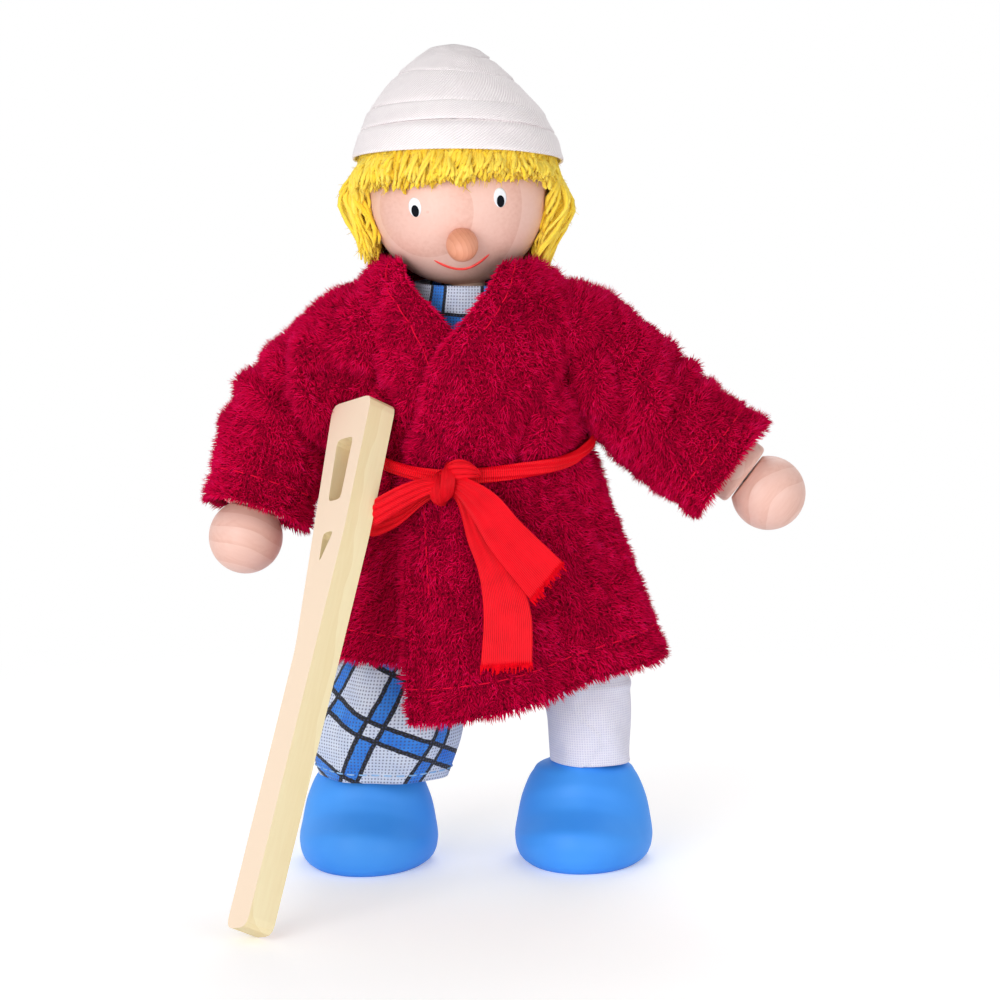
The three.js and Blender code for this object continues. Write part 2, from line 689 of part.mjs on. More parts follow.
function hairWall(outside) {
  return (u, v) => {
    const degrees = mix(-180, 180, u);
    const angle = rad(degrees);
    const z = mix(hairTop, hairEdge(degrees), v);
    const onScalp = Math.sqrt(Math.max(0, scalp * scalp - z * z));
    const lining = mix(onScalp, Math.max(onScalp, hairBottomInner), ease(z, 0, hairBottom * 0.6));
    const full = mix(hairFront, hairSide, ease(Math.abs(degrees), 30, 80));
    const swell = mix(brimRadius - 0.7, full, ease(z, hairTop, fringeBottom));
    const r = outside ? swell : Math.max(lining, onScalp);
    return at(r * Math.sin(angle), -r * Math.cos(angle), z);
  };
}

add(headdress, 'hair_wig', shell(32, 4, true, hairWall(true), hairWall(false)), hairYarn);

// The bandage is wound: rows of points climb the cone by one lap in each turn round the head
const bandageCone = new THREE.SplineCurve([
  new THREE.Vector2(brimRadius, brimHeight),
  new THREE.Vector2(brimRadius - 1.9, brimHeight + 4.5),
  new THREE.Vector2(brimRadius - 3.7, brimHeight + 7.5),
  new THREE.Vector2(brimRadius - 6.5, brimHeight + 10.8),
  new THREE.Vector2(brimRadius * 0.3, bandageHeight - 1.7),
  new THREE.Vector2(0, bandageHeight),
]);
const lapRows = [0, 0.5, 0.93]; // shares of a lap where its rows of points lie
const lapProud = [1, 0.8, 0]; // how far each row stands proud
const bandageSteps = 28;

function bandageGeometry() {
  const rows = lapRows.length;
  const total = (bandageTurns + 1) * rows;
  const points = [];
  for (let j = 0; j <= total; j++) {
    for (let i = 0; i < bandageSteps; i++) {
      const u = i / bandageSteps;
      const climb = Math.floor(j / rows) + lapRows[j % rows] + u - 1;
      const share = THREE.MathUtils.clamp(climb / bandageTurns, 0, 1);
      const spot = bandageCone.getPointAt(share);
      const fade = ease(share, 0, 0.04) * (1 - ease(share, 0.8, 1));
      const proud = lapStep * (lapProud[j % rows] - 1) * fade;
      const radius = share === 1 ? 0 : spot.x + proud;
      points.push(at(radius * Math.sin(turn(u)), -radius * Math.cos(turn(u)), spot.y));
    }
  }
  const index = [];
  const spotOf = (i, j) => (i < bandageSteps ? j * bandageSteps + i : (j + rows) * bandageSteps);
  for (let j = 0; j < total; j++) {
    for (let i = 0; i < bandageSteps; i++) {
      if (spotOf(i + 1, j + 1) >= points.length) continue;
      index.push(spotOf(i, j), spotOf(i + 1, j), spotOf(i + 1, j + 1));
      index.push(spotOf(i, j), spotOf(i + 1, j + 1), spotOf(i, j + 1));
    }
  }
  const middle = points.push(at(0, 0, brimHeight)) - 1;
  for (let i = 0; i < bandageSteps; i++) index.push(middle, (i + 1) % bandageSteps, i);
  return tidy(new THREE.BufferGeometry().setFromPoints(points).setIndex(index));
}

add(headdress, 'head_bandage', cut(bandageGeometry(), faceClear), bandageCotton);

// Arms: each wire turns in the body's cross bore and bends at the shoulder and the elbow
for (const [side, arm] of Object.entries(arms)) {
  const shoulder = pivot(doll, `shoulder_${side}`);
  const outward = at(arm.side, 0, 0);
  const shoulderWire = bendWire(gap / 2, shoulderHalfSpan);
  aim(add(shoulder, `shoulder_wire_${side}`, shoulderWire, wire), at(0, 0, shoulderHeight), outward);
  const upper = pivot(shoulder, `upper_arm_${side}`);
  const upperWire = bendWire(wireStart, upperArmLength);
  aim(add(upper, `upper_arm_wire_${side}`, upperWire, wire), arm.shoulder, arm.upper);
  const upperWrap = sleeveRing(bore, wrapRadius, wrapSetback, upperArmLength - wrapSetback, 14);
  aim(add(upper, `upper_arm_wrap_${side}`, upperWrap, wrapCotton), arm.shoulder, arm.upper);

  const fore = pivot(upper, `forearm_${side}`);
  aim(add(fore, `forearm_wire_${side}`, plainWire(wireStart, forearmLength), wire), arm.elbow, arm.fore);
  const wristPlane = -Math.sqrt(handRadius ** 2 - wristFlat ** 2);
  const collarTo = wristPlane - gap;
  const collarFrom = collarTo - collarWidth;
  const foreWrap = sleeveRing(bore, wrapRadius, wrapSetback, forearmLength + collarFrom - gap, 14);
  aim(add(fore, `forearm_wrap_${side}`, foreWrap, wrapCotton), arm.elbow, arm.fore);
  const collar = turned([
    [bore, collarFrom],
    [collarRadius - collarEdge, collarFrom],
    [collarRadius, collarFrom + collarEdge],
    [collarRadius, collarTo - collarEdge],
    [collarRadius - collarEdge, collarTo],
    [bore, collarTo],
    [bore, collarFrom],
  ], 18);
  aim(add(fore, `wrist_collar_${side}`, collar, wood), arm.hand, arm.fore);
  const wristAngle = -Math.acos(wristFlat / handRadius) * THREE.MathUtils.RAD2DEG;
  const palm = arc(handRadius, 0, wristAngle, 90, 7);
  const hand = turned([[0, gap], [bore, gap], [bore, wristPlane], ...palm], 18);
  aim(add(fore, `hand_${side}`, hand, wood), arm.hand, arm.fore);

  const sleeve = sleeveRings(arm, cuffRadius[side], cuffSetback[side]);
  const upperWall = (offset) => sleeve.wall(0, sleeve.split, offset);
  const upperSleeve = shell(20, 6, true, upperWall(0), upperWall(-robeCloth));
  add(upper, `robe_sleeve_upper_${side}`, cut(upperSleeve, bodiceEnvelope, sashEnvelope), robeTerry);
  const lowerFrom = sleeve.split + gap / sleeve.length;
  const lowerWall = (offset) => sleeve.wall(lowerFrom, 1, offset);
  const lowerSleeve = shell(20, 5, true, lowerWall(0), lowerWall(-robeCloth));
  add(fore, `robe_sleeve_lower_${side}`, lowerSleeve, robeTerry);
}

// A sleeve's rings run from the armhole, square to the body, along the arm to the cuff
function sleeveRings(arm, cuff, setback) {
  const before = arm.elbow.clone().addScaledVector(arm.upper, -sleeveBend);
  const after = arm.elbow.clone().addScaledVector(arm.fore, sleeveBend);
  const end = arm.elbow.clone().addScaledVector(arm.fore, forearmLength - setback);
  const path = new THREE.CurvePath();
  path.add(new THREE.LineCurve3(arm.shoulder, before));
  path.add(new THREE.QuadraticBezierCurve3(before, arm.elbow, after));
  path.add(new THREE.LineCurve3(after, end));
  const length = path.getLength();
  const [straight, bent] = path.curves.map((curve) => curve.getLength());
  const split = (straight + bent / 2) / length;
  const across = at(0, 1, 0);
  const wall = (from, to, offset) => (u, v) => {
    const t = mix(from, to, v);
    const outward = at(arm.side, 0, 0);
    const along = outward.lerp(path.getTangent(t), ease(t * length, 0, sleeveRadius)).normalize();
    const e1 = across.clone().addScaledVector(along, -across.dot(along)).normalize();
    const e2 = e1.clone().cross(along).multiplyScalar(arm.side);
    const away = Math.abs(t - split);
    const crease = elbowCrease * Math.cos(turn(away * 4)) * (1 - ease(away, 0.1, 0.35));
    const radius = mix(sleeveRadius, cuff, ease(t, split, 1)) + offset + crease;
    const sag = mix(armholeDrop, cuffSag, t);
    const point = path.getPoint(t).add(at(0, 0, -sag));
    point.addScaledVector(e1, radius * Math.cos(turn(u)));
    return point.addScaledVector(e2, radius * Math.sin(turn(u)));
  };
  return { wall, split, length };
}

// A cloth tube of level rings: centre and reaches by height
function levelTube(around, along, from, to, ring, cloth) {
  const wall = (offset) => (u, v) => {
    const z = mix(from, to, v);
    const { x, y, reachX, reachY } = ring(z);
    return at(x + (reachX + offset) * Math.sin(turn(u)), y - (reachY + offset) * Math.cos(turn(u)), z);
  };
  return shell(around, along, true, wall(0), wall(-cloth));
}

// Where a shin runs at a height
function shinAt(leg, z) {
  const share = (z - leg.ankle.z) / (leg.knee.z - leg.ankle.z);
  return leg.ankle.clone().lerp(leg.knee, share);
}

const seatOuter = torsoRadius + gap + cottonCloth;

function thighRing(leg, to, endRadius) {
  const from = seatFoot - gap;
  return (z) => {
    const share = ease(z, from, to);
    const endX = mix(leg.hip.x, leg.knee.x, (hipHeight - to) / (hipHeight - leg.knee.z));
    return {
      x: mix((leg.side * (seatOuter + gap / 2)) / 2, endX, share),
      y: 0,
      reachX: mix((seatOuter - gap / 2) / 2, endRadius, share),
      reachY: mix(seatOuter - gap, endRadius, share),
    };
  };
}

// Shoe: level rings from the sole to the ankle, from the ankle axis
const shoeWidth = through(
  [0, shoeHalfWidth - 1.6],
  [shoeHeight * 0.1, shoeHalfWidth - 0.6],
  [shoeHeight * 0.25, shoeHalfWidth],
  [shoeHeight * 0.45, shoeHalfWidth - 0.4],
  [shoeHeight * 0.71, mix(shoeHalfWidth, shoeTopRadius, 0.36)],
  [shoeHeight * 0.9, mix(shoeHalfWidth, shoeTopRadius, 0.74)],
  [shoeHeight, shoeTopRadius],
);
const shoeFront = through(
  [0, shoeToe - 1.2],
  [shoeHeight * 0.14, shoeToe - 0.2],
  [shoeHeight * 0.32, shoeToe],
  [shoeHeight * 0.52, shoeToe - 1.4],
  [shoeHeight * 0.68, mix(shoeToe, shoeTopRadius, 0.5)],
  [shoeHeight * 0.82, shoeTopRadius + 1.5],
  [shoeHeight, shoeTopRadius],
);
const shoeBack = through(
  [0, shoeHeel - 1],
  [shoeHeight * 0.14, shoeHeel - 0.2],
  [shoeHeight * 0.4, shoeHeel],
  [shoeHeight * 0.8, mix(shoeHeel, shoeTopRadius, 0.6)],
  [shoeHeight, shoeTopRadius],
);

function shoeGeometry(leg) {
  const ring = (u, v) => {
    const z = shoeHeight * v;
    const [x, y] = outline(turn(u), shoeWidth(z), shoeWidth(z), shoeFront(z), shoeBack(z));
    return at(x, y, z);
  };
  const block = lofted(24, 9, ring).rotateZ(leg.side * rad(leg.toeOut));
  block.translate(leg.ankle.x + shoeShift, leg.ankle.y, 0);
  const hole = plainHole(bore, 2 * (ankleDepth + gap));
  hole.applyQuaternion(new THREE.Quaternion().setFromUnitVectors(up, leg.shin.clone().negate()));
  const mouth = shinAt(leg, shoeHeight);
  hole.translate(...mouth.toArray());
  return cut(block, hole);
}

// Legs: the wire bends at the hip and the knee
for (const [side, leg] of Object.entries(legs)) {
  const thigh = pivot(doll, `thigh_${side}`);
  aim(add(thigh, `thigh_wire_${side}`, bendWire(wireStart, thighLength), wire), leg.hip, leg.thigh);
  const thighWrap = sleeveRing(bore, wrapRadius, wrapSetback, thighLength - wrapSetback, 14);
  aim(add(thigh, `thigh_wrap_${side}`, thighWrap, wrapCotton), leg.hip, leg.thigh);
  const shin = pivot(thigh, `shin_${side}`);
  aim(add(shin, `shin_wire_${side}`, plainWire(wireStart, leg.shinLength), wire), leg.knee, leg.shin);
  const inShoe = leg.shinLength * (shoeHeight - leg.ankle.z) / (leg.knee.z - leg.ankle.z);
  const shinWrap = sleeveRing(bore, wrapRadius, wrapSetback, leg.shinLength - inShoe - gap * 2, 14);
  aim(add(shin, `shin_wrap_${side}`, shinWrap, wrapCotton), leg.knee, leg.shin);
  add(shin, `shoe_${side}`, shoeGeometry(leg), shoePaint);
}

const kneeSplit = legs.right.knee.z;
const thighRight = thighRing(legs.right, kneeSplit + gap / 2, trouserKneeRadius);
const thighRightTube = levelTube(18, 3, seatFoot - gap, kneeSplit + gap / 2, thighRight, cottonCloth);
add(doll.getObjectByName('thigh_right'), 'trouser_thigh_right', thighRightTube, pyjamaCotton);
const thighLeft = thighRing(legs.left, trouserLeftEnd, trouserLeftRadius);
const thighLeftTube = levelTube(18, 3, seatFoot - gap, trouserLeftEnd, thighLeft, cottonCloth);
add(doll.getObjectByName('thigh_left'), 'trouser_thigh_left', thighLeftTube, pyjamaCotton);

const trouserReach = through(
  [trouserHem, trouserHemRadius],
  [mix(trouserHem, kneeSplit, 0.5), trouserBellRadius],
  [kneeSplit, trouserKneeRadius],
);
const shinRing = (leg, reach) => (z) => {
  const { x, y } = shinAt(leg, z);
  return { x, y, reachX: reach(z), reachY: reach(z) * 0.94 };
};
const shinRight = shinRing(legs.right, trouserReach);
const shinTube = levelTube(20, 4, trouserHem, kneeSplit - gap / 2, shinRight, cottonCloth);
add(doll.getObjectByName('shin_right'), 'trouser_shin_right', shinTube, pyjamaCotton);
const castReach = (z) => mix(castFootRadius, castTopRadius, ease(z, shoeHeight, castTop));
const castTube = levelTube(18, 3, shoeHeight + gap, castTop, shinRing(legs.left, castReach), gauzeCloth);
add(doll.getObjectByName('shin_left'), 'leg_cast_left', castTube, castGauze);

// Crutch: one flat board, a plain shaft that opens into a head with a grip bar and an arm rest
const crutch = pivot(doll, 'crutch');

function roundedOutline(corners, radius) {
  const path = new THREE.Path();
  corners.forEach((corner, k) => {
    const before = corners[(k + corners.length - 1) % corners.length];
    const after = corners[(k + 1) % corners.length];
    const reach = (to) => corner.clone().lerp(to, Math.min(0.45, radius / corner.distanceTo(to)));
    const [from, to] = [reach(before), reach(after)];
    if (k === 0) path.moveTo(from.x, from.y);
    else path.lineTo(from.x, from.y);
    path.quadraticCurveTo(corner.x, corner.y, to.x, to.y);
  });
  path.closePath();
  return path;
}

function crutchGeometry() {
  const flat = (x, y) => new THREE.Vector2(x, y);
  const half = crutchShaft / 2;
  const share = (v, from) => Math.max(0, v - from) / (crutchLength - from);
  const front = (v, inset) => flat(half - headTaper * share(v, gripFrom) - inset, v);
  const back = (v, inset) => flat(inset - half - crutchFlare * share(v, crutchFork), v);
  const board = [
    front(0, 0),
    front(gripFrom, 0),
    front(crutchLength, 0),
    back(crutchLength, 0),
    back(crutchFork, 0),
    back(0, 0),
  ];
  const shape = new THREE.Shape(roundedOutline(board, crutchRound).getPoints(3));
  const windowFrom = gripFrom + gripWidth;
  const windowTo = crutchLength - topBar;
  const upper = [windowFrom, windowTo].map((v) => front(v, crutchLeg));
  upper.push(back(windowTo, crutchLeg), back(windowFrom, crutchLeg));
  const lower = [front(gripFrom, crutchLeg), back(gripFrom, crutchLeg)];
  lower.push(back(gripFrom - forkSlot, crutchLeg));
  for (const corners of [lower, upper]) {
    shape.holes.push(new THREE.Path(roundedOutline(corners, crutchRound / 2).getPoints(2)));
  }
  const depth = crutchThickness;
  return new THREE.ExtrudeGeometry(shape, { depth, bevelEnabled: false }).translate(0, 0, -depth / 2);
}

const lengthwise = at(crutchLean.x, crutchLean.y, crutchLean.z).normalize();
const edgewise = at(Math.sin(rad(crutchTurn)), -Math.cos(rad(crutchTurn)), 0);
edgewise.addScaledVector(lengthwise, -edgewise.dot(lengthwise)).normalize();
const board = add(crutch, 'crutch', crutchGeometry(), crutchWood);
board.applyMatrix4(new THREE.Matrix4().makeBasis(edgewise, lengthwise, edgewise.clone().cross(lengthwise)));
board.position.set(-crutchTipRight, -crutchTipFront, 0);
board.position.z = -new THREE.Box3().setFromObject(board, true).min.z;

// The origin is under the middle of the whole, on the surface that it stands on
const part = new THREE.Group();
part.add(doll);
const extent = new THREE.Box3().setFromObject(doll, true);
const middle = extent.getCenter(at(0, 0, 0));
doll.position.set(-middle.x, -middle.y, -extent.min.z);
export default part;
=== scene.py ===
# A bendable doll dressed as a patient: turned wood on wire limbs, in sewn cloth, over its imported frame.
# Shapes are worked out in millimetres from the middle of the doll's body. It faces -Y, its left is +X.
import json
import math
import bpy
import numpy as np
from mathutils import Matrix, Vector


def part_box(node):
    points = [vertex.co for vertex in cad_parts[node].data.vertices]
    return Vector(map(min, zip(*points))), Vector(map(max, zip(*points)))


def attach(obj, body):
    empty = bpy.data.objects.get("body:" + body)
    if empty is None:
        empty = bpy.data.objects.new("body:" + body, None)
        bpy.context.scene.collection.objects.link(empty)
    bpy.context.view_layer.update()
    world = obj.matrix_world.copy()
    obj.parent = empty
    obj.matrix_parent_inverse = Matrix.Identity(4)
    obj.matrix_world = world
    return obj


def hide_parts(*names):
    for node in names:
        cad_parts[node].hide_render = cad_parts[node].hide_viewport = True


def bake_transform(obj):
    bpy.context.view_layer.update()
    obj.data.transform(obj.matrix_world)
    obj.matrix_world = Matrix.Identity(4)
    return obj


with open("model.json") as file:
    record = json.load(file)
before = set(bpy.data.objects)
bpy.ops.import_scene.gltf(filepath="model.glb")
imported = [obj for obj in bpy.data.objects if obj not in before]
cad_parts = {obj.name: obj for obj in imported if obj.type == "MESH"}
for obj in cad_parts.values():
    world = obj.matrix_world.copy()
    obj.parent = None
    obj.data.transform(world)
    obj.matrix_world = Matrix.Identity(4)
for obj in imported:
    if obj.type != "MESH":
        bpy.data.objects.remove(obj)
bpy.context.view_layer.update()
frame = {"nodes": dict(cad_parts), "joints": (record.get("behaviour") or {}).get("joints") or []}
mm = 0.001
bodyLow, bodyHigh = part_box("torso_block")
dollMiddle = np.array([(bodyLow[0] + bodyHigh[0]) / 2, (bodyLow[1] + bodyHigh[1]) / 2, 0.0])
joints = {joint["name"]: joint for joint in frame["joints"]}
up = np.array([0.0, 0.0, 1.0])
back = np.array([0.0, 1.0, 0.0])
bothSides = (("right", -1), ("left", 1))


def toFrame(points):
    return np.asarray(points, dtype=float) * mm + dollMiddle


def fromFrame(point):
    return (np.array(point) - dollMiddle) / mm


def jointAt(name):
    return fromFrame(joints[name]["pos_m"])


def boxOf(node):
    return [fromFrame(corner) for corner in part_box(node)]


def middleOf(node):
    return sum(boxOf(node)) / 2


# Puts pieces in place: parents them to the body they ride on, or, where the ends of a bend are given, bakes
# them where they stand; and hides the nodes that they replace
def belong(pieces, body, nodes=(), ends=None):
    for piece in pieces:
        if ends is None:
            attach(piece, body)
        else:
            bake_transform(piece)
    if nodes:
        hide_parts(*nodes)


# Small helpers on arrays of points
def unit(v):
    return v / np.maximum(np.linalg.norm(v, axis=-1, keepdims=True), 1e-9)


def mix(a, b, share):
    return a + (b - a) * share


def ease(value, start, end):
    share = np.clip((value - start) / (end - start), 0, 1)
    return share * share * (3 - 2 * share)


def hump(value, middle, width):
    return np.exp(-(((value - middle) / width) ** 2))


def waves(degrees):
    return np.cos(np.radians(degrees))


def fullTurn(count):
    return np.linspace(0, 2 * math.pi, count, endpoint=False)


def reachAlong(line):
    return np.concatenate([[0], np.cumsum(np.linalg.norm(np.diff(line, axis=0), axis=-1))])


def onEachAxis(points, function):
    return np.stack([function(points[:, k]) for k in range(3)], -1)


def smoothLine(x, stations):
    xs, ys = np.array(sorted(stations), dtype=float).T
    slopes = np.gradient(ys, xs)
    k = np.clip(np.searchsorted(xs, x) - 1, 0, len(xs) - 2)
    step = xs[k + 1] - xs[k]
    t = np.clip((x - xs[k]) / step, 0, 1)
    start = (2 * t**3 - 3 * t**2 + 1) * ys[k] + (t**3 - 2 * t**2 + t) * step * slopes[k]
    return start + (3 * t**2 - 2 * t**3) * ys[k + 1] + (t**3 - t**2) * step * slopes[k + 1]


# Slow wandering from about -1 to 1, the same in every run
def wander(points, size, seed):
    rng = np.random.default_rng(seed)
    total = 0
    for _ in range(6):
        wave = unit(rng.normal(size=3)) * 2 * math.pi / (size * rng.uniform(0.7, 1.5))
        total = total + np.sin(points @ wave + rng.uniform(0, 2 * math.pi))
    return total / 3


# A point round an upright axis: degrees run from the front towards the doll's left
def around(degrees, left, right, front, behind):
    s, c = np.sin(np.radians(degrees)), np.cos(np.radians(degrees))
    return s * np.where(s > 0, left, right), -c * np.where(c > 0, front, behind)


# Grids run downwards by rows and towards the doll's left by columns, so that they face outwards
def gridFaces(rows, cols, closed):
    r, c = np.meshgrid(np.arange(rows - 1), np.arange(cols if closed else cols - 1), indexing="ij")
    n = (c + 1) % cols
    corners = [r * cols + c, (r + 1) * cols + c, (r + 1) * cols + n, r * cols + n]
    return np.stack(corners, -1).reshape(-1, 4)


def gridCorners(values):
    corners = [values[:-1, :-1], values[1:, :-1], values[1:, 1:], values[:-1, 1:]]
    return np.stack(corners, 2).reshape(-1, 4, values.shape[-1])


def gridNormals(grid, closed):
    if closed:
        side = np.roll(grid, -1, axis=1) - np.roll(grid, 1, axis=1)
    else:
        side = np.gradient(grid, axis=1)
    return unit(np.cross(np.gradient(grid, axis=0), side))


# One mesh from arrays of faces, with a map in millimetres and values on its points
def addPiece(name, points, faces, material, maps=None, values=None):
    mesh = bpy.data.meshes.new(name)
    corners = np.concatenate([f.ravel() for f in faces]).astype(np.int32)
    counts = np.concatenate([np.full(len(f), f.shape[1]) for f in faces])
    starts = np.concatenate([[0], np.cumsum(counts)[:-1]]).astype(np.int32)
    mesh.vertices.add(len(points))
    mesh.vertices.foreach_set("co", toFrame(points).ravel())
    mesh.loops.add(len(corners))
    mesh.loops.foreach_set("vertex_index", corners)
    mesh.polygons.add(len(counts))
    mesh.polygons.foreach_set("loop_start", starts)
    mesh.update(calc_edges=True)
    for mapName, corner in (maps or {}).items():
        mesh.uv_layers.new(name=mapName).data.foreach_set("uv", corner.astype(np.float32).ravel())
    for valueName, value in (values or {}).items():
        layer = mesh.attributes.new(valueName, "FLOAT", "POINT")
        layer.data.foreach_set("value", value.astype(np.float32))
    mesh.materials.append(material)
    piece = bpy.data.objects.new(name, mesh)
    bpy.context.scene.collection.objects.link(piece)
    return piece


# A cloth of some thickness from its outer grid; flat is its cut size in millimetres
def addCloth(name, outer, thick, material, flat, closed=False):
    rows, cols = outer.shape[:2]
    inner = outer - gridNormals(outer, closed) * thick
    count = rows * cols
    front = gridFaces(rows, cols, closed)
    columns = cols + 1 if closed else cols
    u, v = np.meshgrid(np.linspace(0, flat[0], columns), np.linspace(flat[1], 0, rows))
    frontMap = gridCorners(np.stack([u, v], -1))
    c = np.arange(cols if closed else cols - 1)
    n = (c + 1) % cols
    last = (rows - 1) * cols
    rims = [np.stack([c, n, n + count, c + count], -1)]
    rims.append(np.stack([last + n, last + c, last + c + count, last + n + count], -1))
    if not closed:
        r = np.arange(rows - 1) * cols
        rims.append(np.stack([r + cols, r, r + count, r + cols + count], -1))
        r = r + cols - 1
        rims.append(np.stack([r, r + cols, r + cols + count, r + count], -1))
    rims = np.concatenate(rims)
    pointMap = np.stack([u[:, :cols], v[:, :cols]], -1).reshape(-1, 2)
    rimMap = np.concatenate([pointMap, pointMap])[rims]
    faces = np.concatenate([front, front[:, ::-1] + count, rims])
    corners = np.concatenate([frontMap, frontMap[:, ::-1], rimMap])
    points = np.concatenate([outer.reshape(-1, 3), inner.reshape(-1, 3)])
    return addPiece(name, points, [faces], material, {"cloth": corners})


# A closed body from rings, top ring first
def addLoft(name, rings, material):
    rows, cols = rings.shape[:2]
    top = np.arange(cols)[None, :]
    bottom = (rows - 1) * cols + np.arange(cols)[None, ::-1]
    return addPiece(name, rings.reshape(-1, 3), [gridFaces(rows, cols, True), top, bottom], material)


# A turned piece: profile of (radius, height) from its top down, along an axis
def addTurned(name, profile, origin, axis, material, sides=64):
    axis = unit(np.array(axis, dtype=float))
    across = unit(np.cross(axis, back if abs(axis[1]) < 0.9 else up))
    beside = np.cross(axis, across)
    profile = np.array(profile, dtype=float)
    turn = fullTurn(sides)[None, :, None]
    ring = np.cos(turn) * across + np.sin(turn) * beside
    rings = np.array(origin) + ring * profile[:, :1, None] + profile[:, 1:, None] * axis
    return addLoft(name, rings, material)


def arcProfile(radius, middle, fromDegrees, toDegrees, steps):
    turn = np.radians(np.linspace(fromDegrees, toDegrees, steps))
    return np.stack([np.maximum(radius * np.cos(turn), 0.02), middle + radius * np.sin(turn)], -1)


# Many strands in one mesh: paths (strand, step, xyz), with a twisted two-ply section
def addStrands(name, paths, outward, radii, material, sides=6, lobes=0.0, twists=0.0, tone=None):
    strands, steps = paths.shape[:2]
    along = unit(np.gradient(paths, axis=1))
    across = unit(outward - (outward * along).sum(-1, keepdims=True) * along)
    beside = np.cross(along, across)
    turn = fullTurn(sides)
    phase = np.linspace(0, twists * 2 * math.pi, steps)[None, :, None]
    section = radii[..., None] * (1 + lobes * np.cos(2 * (turn - phase)))
    ring = np.cos(turn)[:, None] * across[:, :, None] + np.sin(turn)[:, None] * beside[:, :, None]
    points = (paths[:, :, None] + section[..., None] * ring).reshape(-1, 3)
    offset = (np.arange(strands) * steps * sides)[:, None, None]
    walls = (gridFaces(steps, sides, True)[:, ::-1][None] + offset).reshape(-1, 4)
    starts = np.arange(sides) + offset[:, 0]
    ends = np.arange(sides)[::-1] + (steps - 1) * sides + offset[:, 0]
    values = None if tone is None else {"tone": np.repeat(tone, steps * sides)}
    return addPiece(name, points, [walls, ends, starts], material, None, values)


# Folds pressed into a cloth's front: lines of (x, height), each with a depth and a width
def pressFolds(grid, closed, folds):
    normals = gridNormals(grid, closed)
    spot = grid[..., [0, 2]]
    press = 0
    for line, depth, width in folds:
        line = np.array(line, dtype=float)
        away = np.full(spot.shape[:2], 1e9)
        for start, end in zip(line[:-1], line[1:]):
            span = end - start
            share = np.clip((spot - start) @ span / (span @ span), 0, 1)
            away = np.minimum(away, np.linalg.norm(spot - start - share[..., None] * span, axis=-1))
        press = press + depth * hump(away, 0, width)
    return grid + normals * (press * ease(-normals[..., 1], 0.0, 0.5))[..., None]


# Running stitches along a line on a cloth: short dashes of thread, bowed off it
def addStitches(name, line, outward, material, long=1.5, gap=1.1, radius=0.1, lift=0.42):
    steps = 7
    reach = reachAlong(line)
    spots = np.arange(0, reach[-1] - long, long + gap)[:, None] + np.linspace(0, long, steps)
    paths, normals = (onEachAxis(v, lambda k: np.interp(spots, reach, k)) for v in (line, outward))
    bow = lift * (0.4 + 0.6 * np.sin(np.linspace(0, math.pi, steps)))
    paths = paths + unit(normals) * bow[:, None]
    return addStrands(name, paths, normals, np.full(spots.shape, radius), material)


# Looks: a hex colour as linear light
def colour(hexValue):
    parts = [int(hexValue[k : k + 2], 16) / 255 for k in (1, 3, 5)]
    return [p / 12.92 if p <= 0.04045 else ((p + 0.055) / 1.055) ** 2.4 for p in parts] + [1.0]


# One node with its settings and links: stops colour a ramp, other names are the node's own or a socket's
def addNode(tree, kind, settings=None, links=None, out=0):
    node = tree.nodes.new(f"ShaderNode{kind}")
    for name, value in (settings or {}).items():
        if name == "stops":
            elements = node.color_ramp.elements
            for place, _ in value[2:]:
                elements.new(place)
            for element, (place, hexValue) in zip(elements, value):
                element.position, element.color = place, colour(hexValue)
        elif isinstance(name, str) and hasattr(node, name):
            setattr(node, name, value)
        else:
            node.inputs[name].default_value = value
    for name, source in (links or {}).items():
        tree.links.new(source, node.inputs[name])
    return node.outputs[out]


def startMaterial(name, settings):
    material = bpy.data.materials.new(name)
    material.use_nodes = True
    shader = material.node_tree.nodes["Principled BSDF"]
    for socket, value in settings.items():
        shader.inputs[socket].default_value = value
    return material, material.node_tree, shader


# Joins colours to a shader, and a relief by its depth in millimetres and its strength
def joinLook(tree, shader, colours, height=None, relief=None):
    tree.links.new(colours, shader.inputs["Base Color"])
    if height is not None:
        settings = {"Distance": relief[0] * mm, "Strength": relief[1]}
        tree.links.new(addNode(tree, "Bump", settings, {"Height": height}), shader.inputs["Normal"])


waveTurn = 2 * math.pi / 20  # a wave texture's length at scale 1


# A pattern by its kind: a value on the points, noise of a size in millimetres, or threads of a pitch
def addPattern(tree, kind, size, more=0.0):
    if kind == "value":
        return addNode(tree, "Attribute", {"attribute_name": size}, out="Fac")
    if kind == "noise":
        spot = addNode(tree, "TexCoord", out="Object")
        return addNode(tree, "TexNoise", {"Scale": 1 / (size * mm), "Detail": more}, {"Vector": spot}, "Fac")
    cloth = addNode(tree, "UVMap", {"uv_map": "cloth"})
    uneven = {"Distortion": 0.6, "Detail Scale": 1.5}
    if kind == "ribs":
        uneven = {"Distortion": 1.2, "Detail Scale": 0.4}
    if kind == "twill":  # shows its slanting lines alone
        cloth = addNode(tree, "Mapping", {"Rotation": (0, 0, math.radians(more))}, {"Vector": cloth})
    bands = []
    for direction in ("X", "Y"):
        settings = {"bands_direction": direction, "Scale": waveTurn / size, **uneven}
        bands.append(addNode(tree, "TexWave", settings, {"Vector": cloth}, "Fac"))
        if kind != "weave":
            return bands[0]
    return addNode(tree, "Math", {"operation": "MULTIPLY"}, dict(enumerate(bands)))  # peaks at the holes, where the cloths colour painted shade
